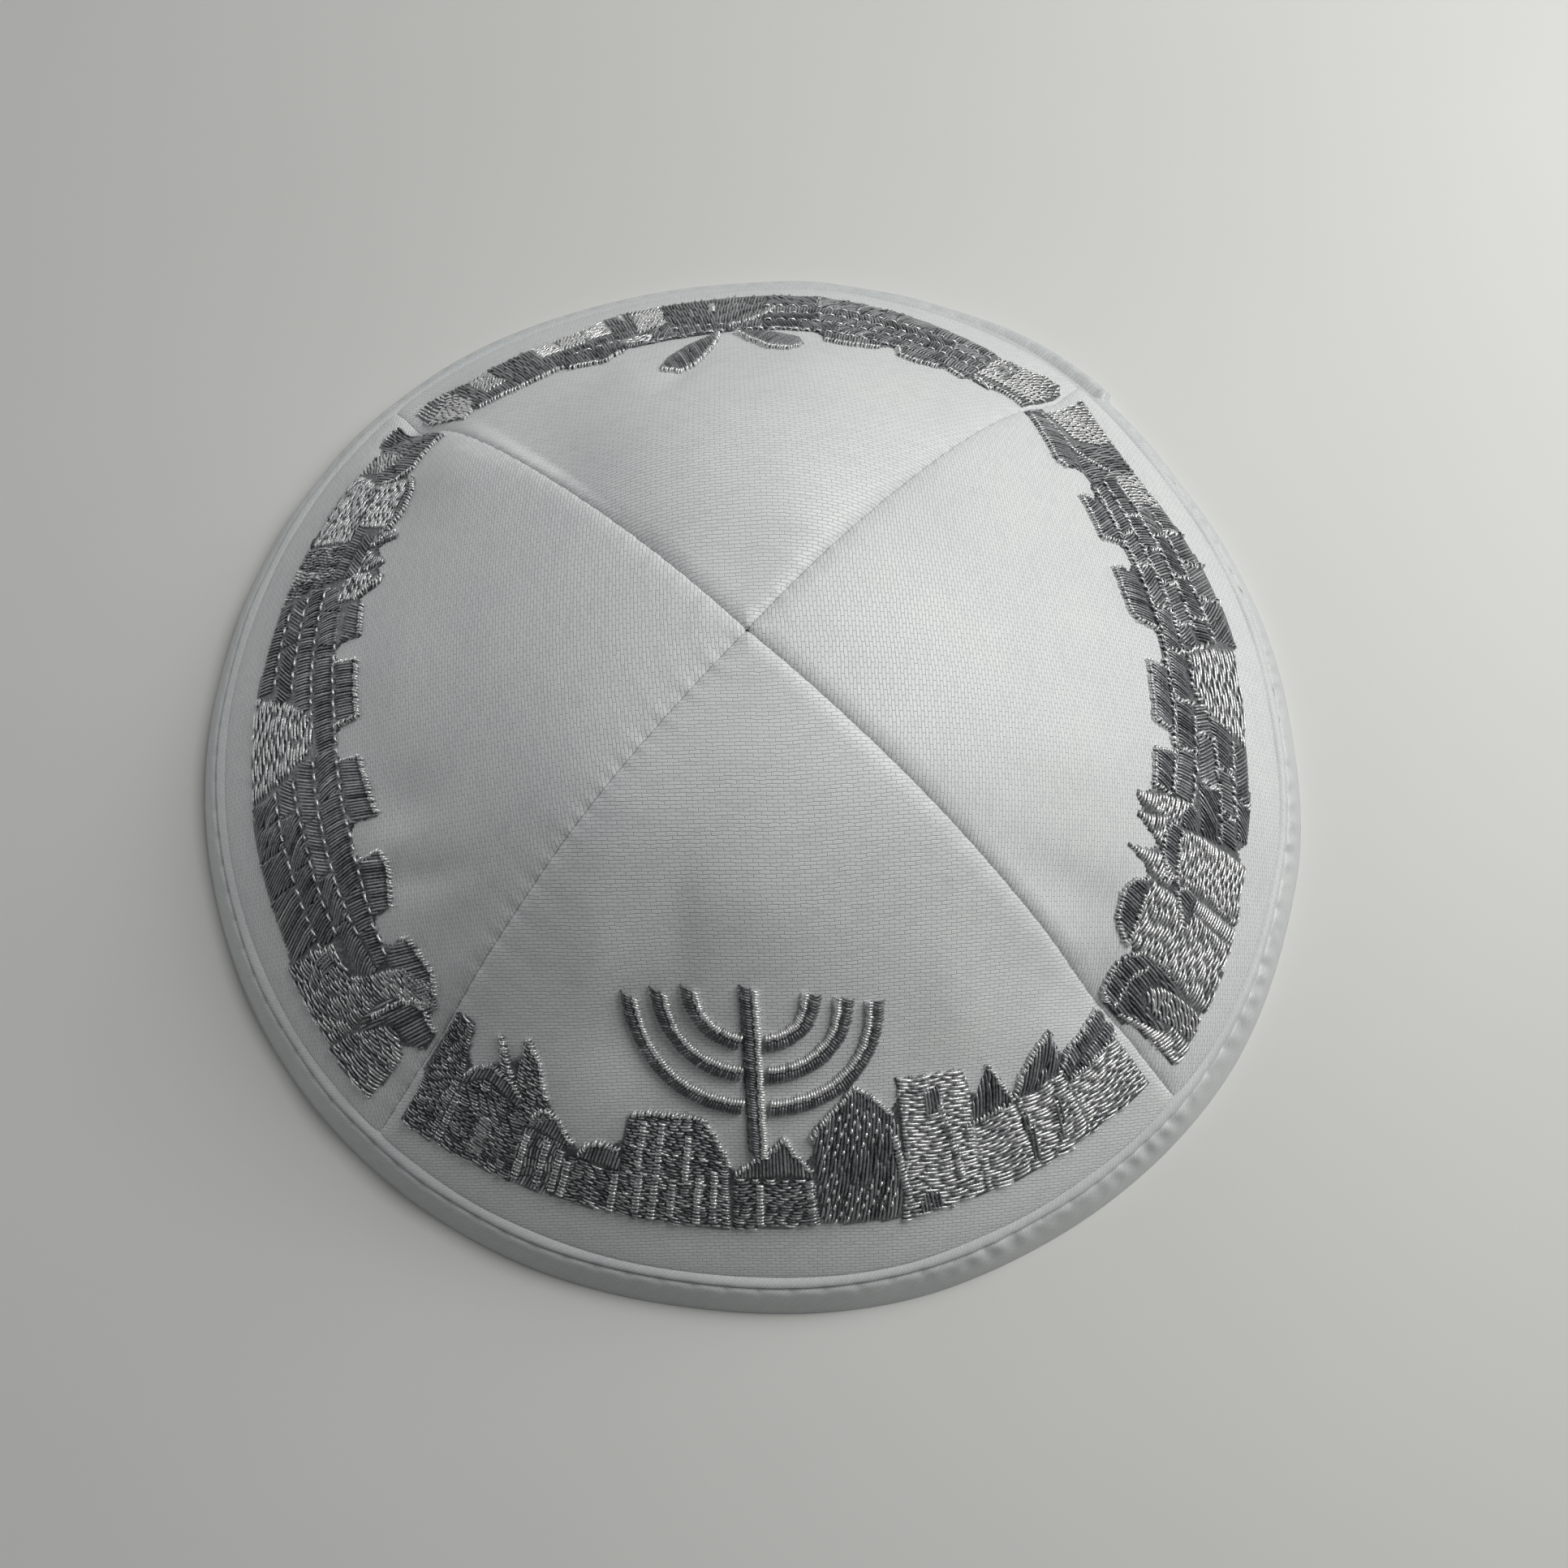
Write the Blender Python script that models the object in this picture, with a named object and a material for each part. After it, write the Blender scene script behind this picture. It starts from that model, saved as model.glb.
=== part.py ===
# Kippah skullcap of four cloth gores with a bias binding round the rim, and a
# raised embroidered city wall and menorah round its lower band.
# Metres, +Z up. The cap rests on z = 0 with the middle of its rim at the origin.
# Its front gore, with the menorah, faces -Y.
import math

import bpy
from mathutils import Vector

# Sizes of the crown
RIM_RADIUS = 0.0800
CROWN_HEIGHT = 0.0455
APEX_FORWARD = 0.0031
GORE_WALL = 0.0010
PIECE_GAP = 0.0003
SEAM_ROLL_WIDTH = 0.0022
SEAM_ROLL_DEPTH = 0.0005

# Sizes of the rim's binding, measured along its slope
BINDING_WIDTH = 0.0078
BINDING_LEAF = 0.0007
BINDING_GRIP = 0.0026
HEM_DROP = 0.0010
BINDING_FOOT = 0.0022
RIDGE_RISE = 0.0002
STITCH_GROOVE = 0.0005
STITCH_LINE = 0.0019
LAP_RISE = 0.0012

# Sizes of the raised embroidery, heights being up the slope from the binding
EMBROIDERY_THICKNESS = 0.0006
BAND_HEIGHT = 0.0300
STEM_WIDTH = 0.0024
STEM_FOOT = 0.0198
STEM_HEIGHT = 0.0224
STEM_SIDE = -0.0021
ARM_REACH = 0.0148
ARM_WIDTH = 0.0018
FROND_LENGTH = 0.0100
FROND_WIDTH = 0.0040
FROND_SIDE = 0.0022

# Shape numbers without a unit, and turns in degrees
DOME_QUARTIC = 0.0857
GORE_FLATNESS = 0.10
BAND_SWELL = 0.022
BAND_AT = 0.76
BAND_SPREAD = 0.12
HEM_DROP_START = 0.83
HEM_DROP_END = 0.93
FOLD_ROUND = 0.30
ROLL_MIDDLE = 0.45
ROLL_MOST = 0.25
LAP_AZIMUTH = 47.0
LAP_TURN = 34.0
LAP_STEP = 0.6
SHARP_TURN = 40.0

# How many steps each surface is built from
GORE_ROWS = 20
GORE_COLUMNS = 10
BINDING_STEPS = 72
STRIP_ROWS = 4
STRIP_STEP = 0.0045
ARM_STEPS = 8

# The rim seen from above: azimuth in degrees, radius as a share of RIM_RADIUS
RIM_OUTLINE = [
    (4, 0.988),
    (30, 0.985),
    (57, 1.013),
    (78, 1.009),
    (100, 0.993),
    (138, 1.011),
    (176, 1.000),
    (205, 0.995),
    (235, 0.993),
    (262, 0.990),
    (290, 1.009),
    (322, 1.017),
    (344, 1.003),
]

# Each seam: its name, azimuth at the rim in degrees, then where along the gore it
# pinches in and by what share of CROWN_HEIGHT, and where and how far it swells
SEAMS = [
    ("front_right", -42.7, 0.735, 0.050, 0.40, 0.012),
    ("back_right", 48.8, 0.840, 0.036, 0.58, 0.018),
    ("back_left", 136.9, 0.860, 0.080, 0.64, 0.018),
    ("front_left", 229.6, 0.755, 0.034, 0.38, 0.026),
]
PINCH_ACROSS = 0.075
PINCH_ALONG = 0.080
SWELL_ACROSS = 0.16
SWELL_ALONG = 0.17
PINCH_FADE_START = 0.86
PINCH_FADE_END = 0.93

# The gores, each from one seam to the next one counter-clockwise
GORES = [
    ("right", "front_right", "back_right"),
    ("back", "back_right", "back_left"),
    ("left", "back_left", "front_left"),
    ("front", "front_left", "front_right"),
]

# The tops of the skylines: place as a share of half the gore's width from its middle,
# height as a share of BAND_HEIGHT
SKYLINE_TOPS = {
    "front": [
        (-0.965, 0.81), (-0.910, 0.82), (-0.882, 0.64), (-0.850, 0.64), (-0.833, 0.83),
        (-0.790, 0.69), (-0.765, 0.69), (-0.748, 0.90), (-0.694, 0.83), (-0.636, 0.63),
        (-0.590, 0.60), (-0.535, 0.50), (-0.487, 0.53), (-0.440, 0.56), (-0.412, 0.53),
        (-0.404, 0.73), (-0.350, 0.77), (-0.245, 0.79), (-0.193, 0.78), (-0.158, 0.69),
        (-0.124, 0.55), (-0.109, 0.53), (0.024, 0.64), (0.087, 0.54), (0.098, 0.56),
        (0.106, 0.74), (0.237, 0.92), (0.289, 0.84), (0.332, 0.68), (0.363, 0.90),
        (0.540, 0.83), (0.552, 0.64), (0.620, 0.77), (0.646, 0.56), (0.690, 0.58),
        (0.820, 0.74), (0.835, 0.62), (0.965, 0.64),
    ],
    "right": [
        (-0.965, 0.71), (-0.907, 0.75), (-0.855, 0.71), (-0.834, 0.77), (-0.800, 0.87),
        (-0.735, 0.91), (-0.690, 0.88), (-0.645, 0.77), (-0.605, 0.99), (-0.565, 0.80),
        (-0.540, 0.82), (-0.500, 1.01), (-0.466, 0.84), (-0.440, 1.02), (-0.398, 0.84),
        (-0.388, 0.93), (-0.272, 0.95), (-0.264, 0.83), (-0.195, 0.84), (-0.182, 0.95),
        (0.010, 0.95), (0.018, 0.82), (0.130, 0.83), (0.140, 0.97), (0.345, 0.99),
        (0.352, 0.87), (0.438, 0.85), (0.450, 0.95), (0.610, 0.93), (0.626, 0.79),
        (0.715, 0.78), (0.750, 0.87), (0.784, 0.90), (0.888, 0.84), (0.960, 0.78),
    ],
    "back": [
        (-0.965, 0.77), (-0.900, 0.80), (-0.888, 0.87), (-0.815, 0.87), (-0.803, 0.81),
        (-0.787, 0.90), (-0.712, 0.87), (-0.700, 0.92), (-0.567, 0.93), (-0.550, 0.83),
        (-0.498, 0.83), (-0.485, 0.92), (-0.377, 0.97), (-0.310, 0.95), (-0.298, 0.86),
        (-0.118, 0.84), (0.060, 0.83), (0.127, 0.83), (0.310, 0.85), (0.378, 0.91),
        (0.461, 0.93), (0.520, 0.91), (0.580, 0.82), (0.726, 0.81), (0.876, 0.74),
        (0.945, 0.74),
    ],
    "left": [
        (-0.945, 0.75), (-0.890, 0.75), (-0.815, 0.79), (-0.775, 0.90), (-0.730, 0.94),
        (-0.670, 0.95), (-0.612, 0.90), (-0.585, 0.99), (-0.533, 0.88), (-0.512, 0.88),
        (-0.487, 1.00), (-0.450, 0.88), (-0.418, 1.03), (-0.377, 0.98), (-0.348, 0.87),
        (-0.336, 0.95), (-0.226, 0.99), (-0.214, 0.84), (-0.150, 0.86), (-0.138, 1.01),
        (0.052, 1.03), (0.062, 0.90), (0.170, 0.88), (0.184, 1.02), (0.390, 1.03),
        (0.402, 0.88), (0.484, 0.85), (0.500, 0.99), (0.640, 0.93), (0.652, 0.78),
        (0.743, 0.74), (0.764, 0.85), (0.887, 0.85), (0.962, 0.70),
    ],
}

# The feet of the skylines, charted the same way
SKYLINE_FEET = {
    "front": [(-1.00, 0.15), (-0.60, 0.21), (-0.10, 0.24), (0.15, 0.26), (0.45, 0.20), (1.00, 0.18)],
    "right": [(-1.00, 0.13), (-0.60, 0.20), (-0.25, 0.26), (0.15, 0.20), (0.70, 0.27), (1.00, 0.13)],
    "back": [(-1.00, 0.17), (-0.80, 0.25), (-0.45, 0.21), (0.25, 0.18), (0.58, 0.26), (1.00, 0.14)],
    "left": [(-1.00, 0.13), (-0.84, 0.26), (-0.30, 0.24), (0.30, 0.22), (0.75, 0.16), (1.00, 0.14)],
}

# The menorah's pairs of arms: reach as a share of ARM_REACH, then where they leave
# the stem and where they end as shares of STEM_HEIGHT
MENORAH_ARMS = [
    ("outer", 1.00, 0.28, 0.84),
    ("middle", 0.74, 0.49, 0.90),
    ("inner", 0.48, 0.68, 0.95),
]

# Palm fronds behind the back wall: side, lean in degrees from the rim's line, width
# and length as shares of FROND_WIDTH and FROND_LENGTH
FRONDS = [
    ("left", -1.0, 24.0, 1.0, 0.95),
    ("right", 1.0, 52.0, 0.95, 1.25),
]


def smooth_step(value):
    """Ease from 0 to 1 as value goes from 0 to 1."""
    value = min(max(value, 0.0), 1.0)
    return value * value * (3.0 - 2.0 * value)


def ease(value, start, end):
    """Ease from 0 at start to 1 at end."""
    return smooth_step((value - start) / (end - start))


def hump(distance, spread):
    """A rounded bump, 1 in its middle and fading over its spread."""
    return math.exp(-(distance / spread) ** 2)


def rim_radius(azimuth):
    """The rim's radius at an azimuth, eased between the rows of RIM_OUTLINE."""
    azimuth = azimuth % 360.0
    rows = RIM_OUTLINE + [(RIM_OUTLINE[0][0] + 360.0, RIM_OUTLINE[0][1])]
    if azimuth < rows[0][0]:
        azimuth += 360.0
    for (start, share), (end, next_share) in zip(rows, rows[1:]):
        if start <= azimuth <= end:
            turn = smooth_step((azimuth - start) / (end - start))
            return RIM_RADIUS * (share + (next_share - share) * turn)
    return RIM_RADIUS * rows[0][1]


def rim_point(azimuth):
    """A point of the rim's outer edge, the outline's box being centred on the origin."""
    turn = math.radians(azimuth)
    radius = rim_radius(azimuth)
    return Vector((radius * math.cos(turn), radius * math.sin(turn), 0.0)) - OUTLINE_MIDDLE


def outline_middle():
    """The middle of the box round the rim's outline as charted."""
    turns = [math.radians(degree) for degree in range(360)]
    across = [rim_radius(math.degrees(turn)) * math.cos(turn) for turn in turns]
    along = [rim_radius(math.degrees(turn)) * math.sin(turn) for turn in turns]
    return Vector((0.5 * (min(across) + max(across)), 0.5 * (min(along) + max(along)), 0.0))


OUTLINE_MIDDLE = outline_middle()


def gore_span(gore):
    """The azimuths of a gore's two seams, in degrees."""
    turns = {name: azimuth for name, azimuth, *_ in SEAMS}
    start = turns[gore[1]]
    end = turns[gore[2]]
    if end < start:
        end += 360.0
    return start, end


def gore_place(azimuth):
    """Where an azimuth lies in its gore, from -1 at one seam to 1 at the next."""
    for gore in GORES:
        start, end = gore_span(gore)
        turn = (azimuth - start) % 360.0
        if turn <= end - start:
            return 2.0 * turn / (end - start) - 1.0
    return 0.0


def dome(share):
    """Height of the dome, from 1 at the apex to 0 at the rim."""
    square = share * share
    return 1.0 - (1.0 + DOME_QUARTIC) * square + DOME_QUARTIC * square * square


def crown_height(azimuth, along):
    """Height of the crown's outer face, along being 0 at the apex and 1 at the rim."""
    place = gore_place(azimuth)
    inside = 1.0 - place * place
    height = dome(along * (1.0 + GORE_FLATNESS * inside * (1.0 - along)))
    height += BAND_SWELL * inside * hump(along - BAND_AT, BAND_SPREAD)
    for _, seam, pinch_at, pinch, swell_at, swell in SEAMS:
        away = math.radians((azimuth - seam + 180.0) % 360.0 - 180.0) * along
        pinch *= 1.0 - ease(along, PINCH_FADE_START, PINCH_FADE_END)
        height -= pinch * hump(away, PINCH_ACROSS) * hump(along - pinch_at, PINCH_ALONG)
        height += swell * hump(away, SWELL_ACROSS) * hump(along - swell_at, SWELL_ALONG)
    return CROWN_HEIGHT * height - HEM_DROP * ease(along, HEM_DROP_START, HEM_DROP_END)


def crown_point(azimuth, along):
    """A point of the crown's outer face before its seams roll in."""
    apex = Vector((0.0, -APEX_FORWARD, 0.0)) - OUTLINE_MIDDLE
    point = apex + along * (rim_point(azimuth) - apex)
    point.z = crown_height(azimuth, along)
    return point


def crown_normal(azimuth, along):
    """Outward normal of the crown within its meridian's upright plane."""
    step = 0.004
    above = crown_point(azimuth, max(along - step, 0.0))
    below = crown_point(azimuth, along + step)
    slope = below - above
    level = Vector((slope.x, slope.y, 0.0))
    out = level.normalized()
    return Vector((-slope.z * out.x, -slope.z * out.y, level.length)).normalized()


def along_from_slant(slant):
    """The share along a gore that lies this far up the slope from the rim."""
    steps = 400
    left = slant
    for index in range(steps):
        start = 1.0 - index / steps
        end = 1.0 - (index + 1) / steps
        run = RIM_RADIUS / steps
        rise = CROWN_HEIGHT * (dome(end) - dome(start))
        length = math.hypot(run, rise)
        if length >= left:
            return start - left / length / steps
        left -= length
    return 0.0


def on_crown(azimuth, slant, proud):
    """A point up the slope from the rim and proud of the crown's outer face."""
    along = along_from_slant(slant)
    return crown_point(azimuth, along) + proud * crown_normal(azimuth, along)


def add_object(name, vertices, faces, material):
    """Make one closed smooth-shaded object from its vertices and faces."""
    mesh = bpy.data.meshes.new(name)
    mesh.from_pydata([tuple(vertex) for vertex in vertices], [], faces)
    mesh.validate()
    mesh.update()
    mesh.materials.append(material)
    piece = bpy.data.objects.new(name, mesh)
    bpy.context.scene.collection.objects.link(piece)
    mesh.shade_smooth()
    mesh.set_sharp_from_angle(angle=math.radians(SHARP_TURN))
    return piece


def add_material(name, colour, roughness, metallic):
    """A Principled material with the cloth's or thread's colour and shine."""
    material = bpy.data.materials.new(name)
    material.use_nodes = True
    shader = material.node_tree.nodes["Principled BSDF"]
    shader.inputs["Base Color"].default_value = (*colour, 1.0)
    shader.inputs["Roughness"].default_value = roughness
    shader.inputs["Metallic"].default_value = metallic
    return material


def sheet_faces(rows, columns):
    """Faces of a sheet of rows by columns of points with a second sheet behind it."""
    faces = []
    behind = rows * columns
    for row in range(rows - 1):
        for column in range(columns - 1):
            corner = row * columns + column
            quad = (corner, corner + 1, corner + 1 + columns, corner + columns)
            faces.append(quad)
            faces.append(tuple(behind + index for index in reversed(quad)))
    border = [index for index in range(columns)]
    border += [row * columns + columns - 1 for row in range(1, rows)]
    border += [(rows - 1) * columns + index for index in range(columns - 2, -1, -1)]
    border += [row * columns for row in range(rows - 2, 0, -1)]
    for start, end in zip(border, border[1:] + border[:1]):
        faces.append((end, start, behind + start, behind + end))
    return faces


def gore_columns(half_width):
    """Places across a gore, closer where its edges roll in at the seams."""
    edge = 1.0 - 0.5 * PIECE_GAP / half_width
    roll = min(SEAM_ROLL_WIDTH / half_width, ROLL_MOST)
    inner = edge - roll
    places = [-edge, -edge + ROLL_MIDDLE * roll]
    places += [inner * (2.0 * index / GORE_COLUMNS - 1.0) for index in range(GORE_COLUMNS + 1)]
    places += [edge - ROLL_MIDDLE * roll, edge]
    return places


def build_gore(gore, material):
    """One cloth gore, from the apex down into the binding."""
    start, end = gore_span(gore)
    middle = 0.5 * (start + end)
    half_turn = 0.5 * (end - start)
    hem = along_from_slant(BINDING_WIDTH - BINDING_GRIP)
    tip = PIECE_GAP / RIM_RADIUS
    outer = []
    inner = []
    for row in range(1, GORE_ROWS + 1):
        along = hem * row / GORE_ROWS
        half_width = math.radians(half_turn) * RIM_RADIUS * along
        for place in gore_columns(half_width):
            azimuth = middle + place * half_turn
            normal = crown_normal(azimuth, along)
            from_edge = (1.0 - abs(place)) * half_width
            roll_width = min(SEAM_ROLL_WIDTH, ROLL_MOST * half_width)
            sink = SEAM_ROLL_DEPTH * (1.0 - smooth_step(from_edge / roll_width))
            sink *= smooth_step((hem - along) * RIM_RADIUS / BINDING_WIDTH)
            point = crown_point(azimuth, along) - sink * normal
            outer.append(point)
            inner.append(point - GORE_WALL * normal)
    columns = len(gore_columns(RIM_RADIUS))
    vertices = outer + inner
    faces = sheet_faces(GORE_ROWS, columns)
    faces = [face for face in faces if not is_tip_side(face, columns, GORE_ROWS)]
    apex = crown_point(middle, tip) - SEAM_ROLL_DEPTH * Vector((0.0, 0.0, 1.0))
    vertices.append(apex)
    vertices.append(apex - GORE_WALL * Vector((0.0, 0.0, 1.0)))
    top = len(vertices) - 2
    behind = GORE_ROWS * columns
    for column in range(columns - 1):
        faces.append((top, column + 1, column))
        faces.append((top + 1, behind + column, behind + column + 1))
    faces.append((top, 0, behind, top + 1))
    faces.append((columns - 1, top, top + 1, behind + columns - 1))
    return add_object("gore_" + gore[0], vertices, [tuple(reversed(face)) for face in faces], material)


def is_tip_side(face, columns, rows):
    """Whether a face closes the first row's thickness, where the tip goes instead."""
    behind = rows * columns
    first = [index for index in face if index < columns]
    second = [index for index in face if behind <= index < behind + columns]
    return len(first) == 2 and len(second) == 2


def lap_height(azimuth):
    """How far the binding's lapped end stands proud, easing away from its end."""
    turn = (azimuth - LAP_AZIMUTH) % 360.0
    if turn > LAP_TURN:
        return 0.0
    return LAP_RISE * (1.0 - smooth_step(turn / LAP_TURN))


def binding_section(azimuth):
    """The binding's section at an azimuth: a folded tape that grips the gores' edge."""
    lap = lap_height(azimuth)
    face = PIECE_GAP + BINDING_LEAF + lap
    crest = face + RIDGE_RISE
    back = -(GORE_WALL + PIECE_GAP)
    lining = back - BINDING_LEAF
    slot = BINDING_WIDTH - BINDING_GRIP - PIECE_GAP
    fold = FOLD_ROUND * BINDING_LEAF
    rows = [
        (BINDING_WIDTH, PIECE_GAP),
        (BINDING_WIDTH + fold, 0.5 * (PIECE_GAP + crest)),
        (BINDING_WIDTH - fold, crest),
        (BINDING_WIDTH - 0.5 * STITCH_LINE, crest),
        (BINDING_WIDTH - STITCH_LINE, face - STITCH_GROOVE),
        (BINDING_WIDTH - 1.5 * STITCH_LINE, face),
        (0.4 * BINDING_WIDTH, face),
    ]
    points = [on_crown(azimuth, slant, proud) for slant, proud in rows]
    edge = rim_point(azimuth)
    inward = -edge.normalized()
    points.append(edge + Vector((0.0, 0.0, 2.0 * fold)))
    points.append(edge + fold * inward)
    points.append(edge + (fold + BINDING_FOOT) * inward)
    inside = [
        (0.5 * BINDING_WIDTH, back),
        (BINDING_WIDTH - fold, lining),
        (BINDING_WIDTH + fold, 0.5 * (back + lining)),
        (BINDING_WIDTH, back),
        (slot, back),
        (slot, PIECE_GAP),
    ]
    points += [on_crown(azimuth, slant, proud) for slant, proud in inside]
    return points


def build_binding(material):
    """The bias binding, a ring with a step where its end laps over its start."""
    azimuths = [LAP_AZIMUTH + 360.0 * index / BINDING_STEPS for index in range(BINDING_STEPS)]
    azimuths.append(LAP_AZIMUTH + 360.0 - LAP_STEP)
    vertices = []
    for azimuth in azimuths:
        vertices += binding_section(azimuth)
    count = len(binding_section(0.0))
    faces = []
    for step in range(len(azimuths)):
        ahead = (step + 1) % len(azimuths)
        for index in range(count):
            other = (index + 1) % count
            faces.append((
                step * count + index,
                step * count + other,
                ahead * count + other,
                ahead * count + index,
            ))
    return add_object("rim_binding", vertices, faces, material)


def build_strip(name, columns, material):
    """A raised strip of embroidery; a column is a row of azimuths and slants."""
    outer = []
    inner = []
    for row in range(len(columns[0])):
        for column in columns:
            azimuth, slant = column[row]
            outer.append(on_crown(azimuth, slant, PIECE_GAP + EMBROIDERY_THICKNESS))
            inner.append(on_crown(azimuth, slant, PIECE_GAP))
    faces = sheet_faces(len(columns[0]), len(columns))
    return add_object(name, outer + inner, faces, material)


def chart_height(rows, place):
    """The height charted at a place, in a straight line between the rows beside it."""
    for (start, height), (end, next_height) in zip(rows, rows[1:]):
        if start <= place <= end:
            return height + (next_height - height) * (place - start) / (end - start)
    return rows[-1][1]


def build_skyline(gore, material):
    """The embroidered wall and houses of one gore, its outline following the chart."""
    start, end = gore_span(gore)
    middle = 0.5 * (start + end)
    half_turn = 0.5 * (end - start)
    half_width = math.radians(half_turn) * RIM_RADIUS
    tops = SKYLINE_TOPS[gore[0]]
    places = []
    for (place, _), (next_place, _) in zip(tops, tops[1:]):
        parts = math.ceil((next_place - place) * half_width / STRIP_STEP)
        places += [place + (next_place - place) * part / parts for part in range(parts)]
    places.append(tops[-1][0])
    columns = []
    for place in places:
        low = BINDING_WIDTH + BAND_HEIGHT * chart_height(SKYLINE_FEET[gore[0]], place)
        high = BINDING_WIDTH + BAND_HEIGHT * chart_height(tops, place)
        azimuth = middle + place * half_turn
        steps = range(STRIP_ROWS + 1)
        columns.append([(azimuth, low + (high - low) * step / STRIP_ROWS) for step in steps])
    return build_strip("skyline_" + gore[0], columns, material)


def gore_chart(gore, side, height):
    """The azimuth and slant of a point charted in real lengths from a gore's middle line."""
    start, end = gore_span(gore)
    slant = BINDING_WIDTH + height
    radius = RIM_RADIUS * along_from_slant(slant)
    return 0.5 * (start + end) + math.degrees(side / radius), slant


def build_menorah(gore, material):
    """The menorah: an upright stem and three pairs of curved arms in satin stitch."""
    half = 0.5 * STEM_WIDTH
    steps = range(ARM_STEPS + 1)
    stem = []
    for side in (STEM_SIDE - half, STEM_SIDE + half):
        heights = [STEM_FOOT + STEM_HEIGHT * step / ARM_STEPS for step in steps]
        stem.append([gore_chart(gore, side, height) for height in heights])
    build_strip("menorah_stem", stem, material)
    for name, reach_share, joint_share, end_share in MENORAH_ARMS:
        joint = STEM_FOOT + joint_share * STEM_HEIGHT
        rise = (end_share - joint_share) * STEM_HEIGHT
        reach = reach_share * ARM_REACH
        first = math.asin((half + PIECE_GAP) / reach)
        for hand, way in (("left", -1.0), ("right", 1.0)):
            columns = []
            for step in steps:
                turn = first + (0.5 * math.pi - first) * step / ARM_STEPS
                across = Vector((math.sin(turn) * rise, math.cos(turn) * reach)).normalized()
                column = []
                for width in (-0.5 * ARM_WIDTH, 0.5 * ARM_WIDTH):
                    side = reach * math.sin(turn) - width * across.x
                    height = joint + rise * (1.0 - math.cos(turn)) + width * across.y
                    side = max(side, half + PIECE_GAP)
                    column.append(gore_chart(gore, STEM_SIDE + way * side, height))
                columns.append(column)
            if way < 0.0:
                columns.reverse()
            build_strip("menorah_arm_" + hand + "_" + name, columns, material)


def build_fronds(gore, material):
    """Two palm fronds that rise behind the back wall."""
    root = BAND_HEIGHT * 0.86 + 2.0 * PIECE_GAP
    for name, way, lean, width_share, length_share in FRONDS:
        turn = math.radians(lean)
        columns = []
        for step in range(ARM_STEPS + 1):
            mix = step / ARM_STEPS
            run = FROND_LENGTH * length_share * mix
            half = 0.5 * FROND_WIDTH * width_share * math.sin(math.pi * (0.08 + 0.84 * mix)) ** 0.7
            column = []
            for edge in (-half, half):
                side = FROND_SIDE + way * (run * math.cos(turn) - edge * math.sin(turn))
                height = root + half + run * math.sin(turn) + edge * math.cos(turn)
                column.append(gore_chart(gore, side + way * FROND_WIDTH * 0.3, height))
            columns.append(column)
        if way < 0.0:
            columns.reverse()
        build_strip("palm_frond_" + name, columns, material)


def remove_everything():
    """Start from an empty scene."""
    for item in list(bpy.data.objects):
        bpy.data.objects.remove(item)


def build_cap():
    """Build every piece of the cap."""
    remove_everything()
    satin = add_material("white_satin", (0.83, 0.84, 0.84), 0.42, 0.0)
    tape = add_material("satin_tape", (0.86, 0.87, 0.87), 0.38, 0.0)
    thread = add_material("silver_thread", (0.42, 0.42, 0.44), 0.30, 0.9)
    gores = {gore[0]: gore for gore in GORES}
    for gore in GORES:
        build_gore(gore, satin)
        build_skyline(gore, thread)
    build_menorah(gores["front"], thread)
    build_fronds(gores["back"], thread)
    build_binding(tape)


build_cap()
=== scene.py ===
# White satin kippah with a silver wall-and-menorah embroidery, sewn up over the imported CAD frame.
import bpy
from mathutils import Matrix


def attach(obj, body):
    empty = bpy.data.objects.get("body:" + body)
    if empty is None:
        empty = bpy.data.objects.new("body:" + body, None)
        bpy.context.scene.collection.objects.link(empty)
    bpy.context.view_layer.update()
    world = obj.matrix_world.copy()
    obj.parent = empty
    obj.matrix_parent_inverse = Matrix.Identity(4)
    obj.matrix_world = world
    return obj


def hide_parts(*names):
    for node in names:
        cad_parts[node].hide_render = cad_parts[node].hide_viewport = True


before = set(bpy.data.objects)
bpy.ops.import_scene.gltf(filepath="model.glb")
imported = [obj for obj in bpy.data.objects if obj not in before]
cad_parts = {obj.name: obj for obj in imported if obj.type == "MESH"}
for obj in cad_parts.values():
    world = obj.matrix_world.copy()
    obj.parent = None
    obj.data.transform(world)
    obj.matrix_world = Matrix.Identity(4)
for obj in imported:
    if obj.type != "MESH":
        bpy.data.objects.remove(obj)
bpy.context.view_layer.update()        # one body, root, with a CAD node for every piece made below

import math

import bmesh
import bpy
import numpy as np
from mathutils import Matrix, Vector

mm = 0.001
rng = np.random.default_rng(613)

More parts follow.
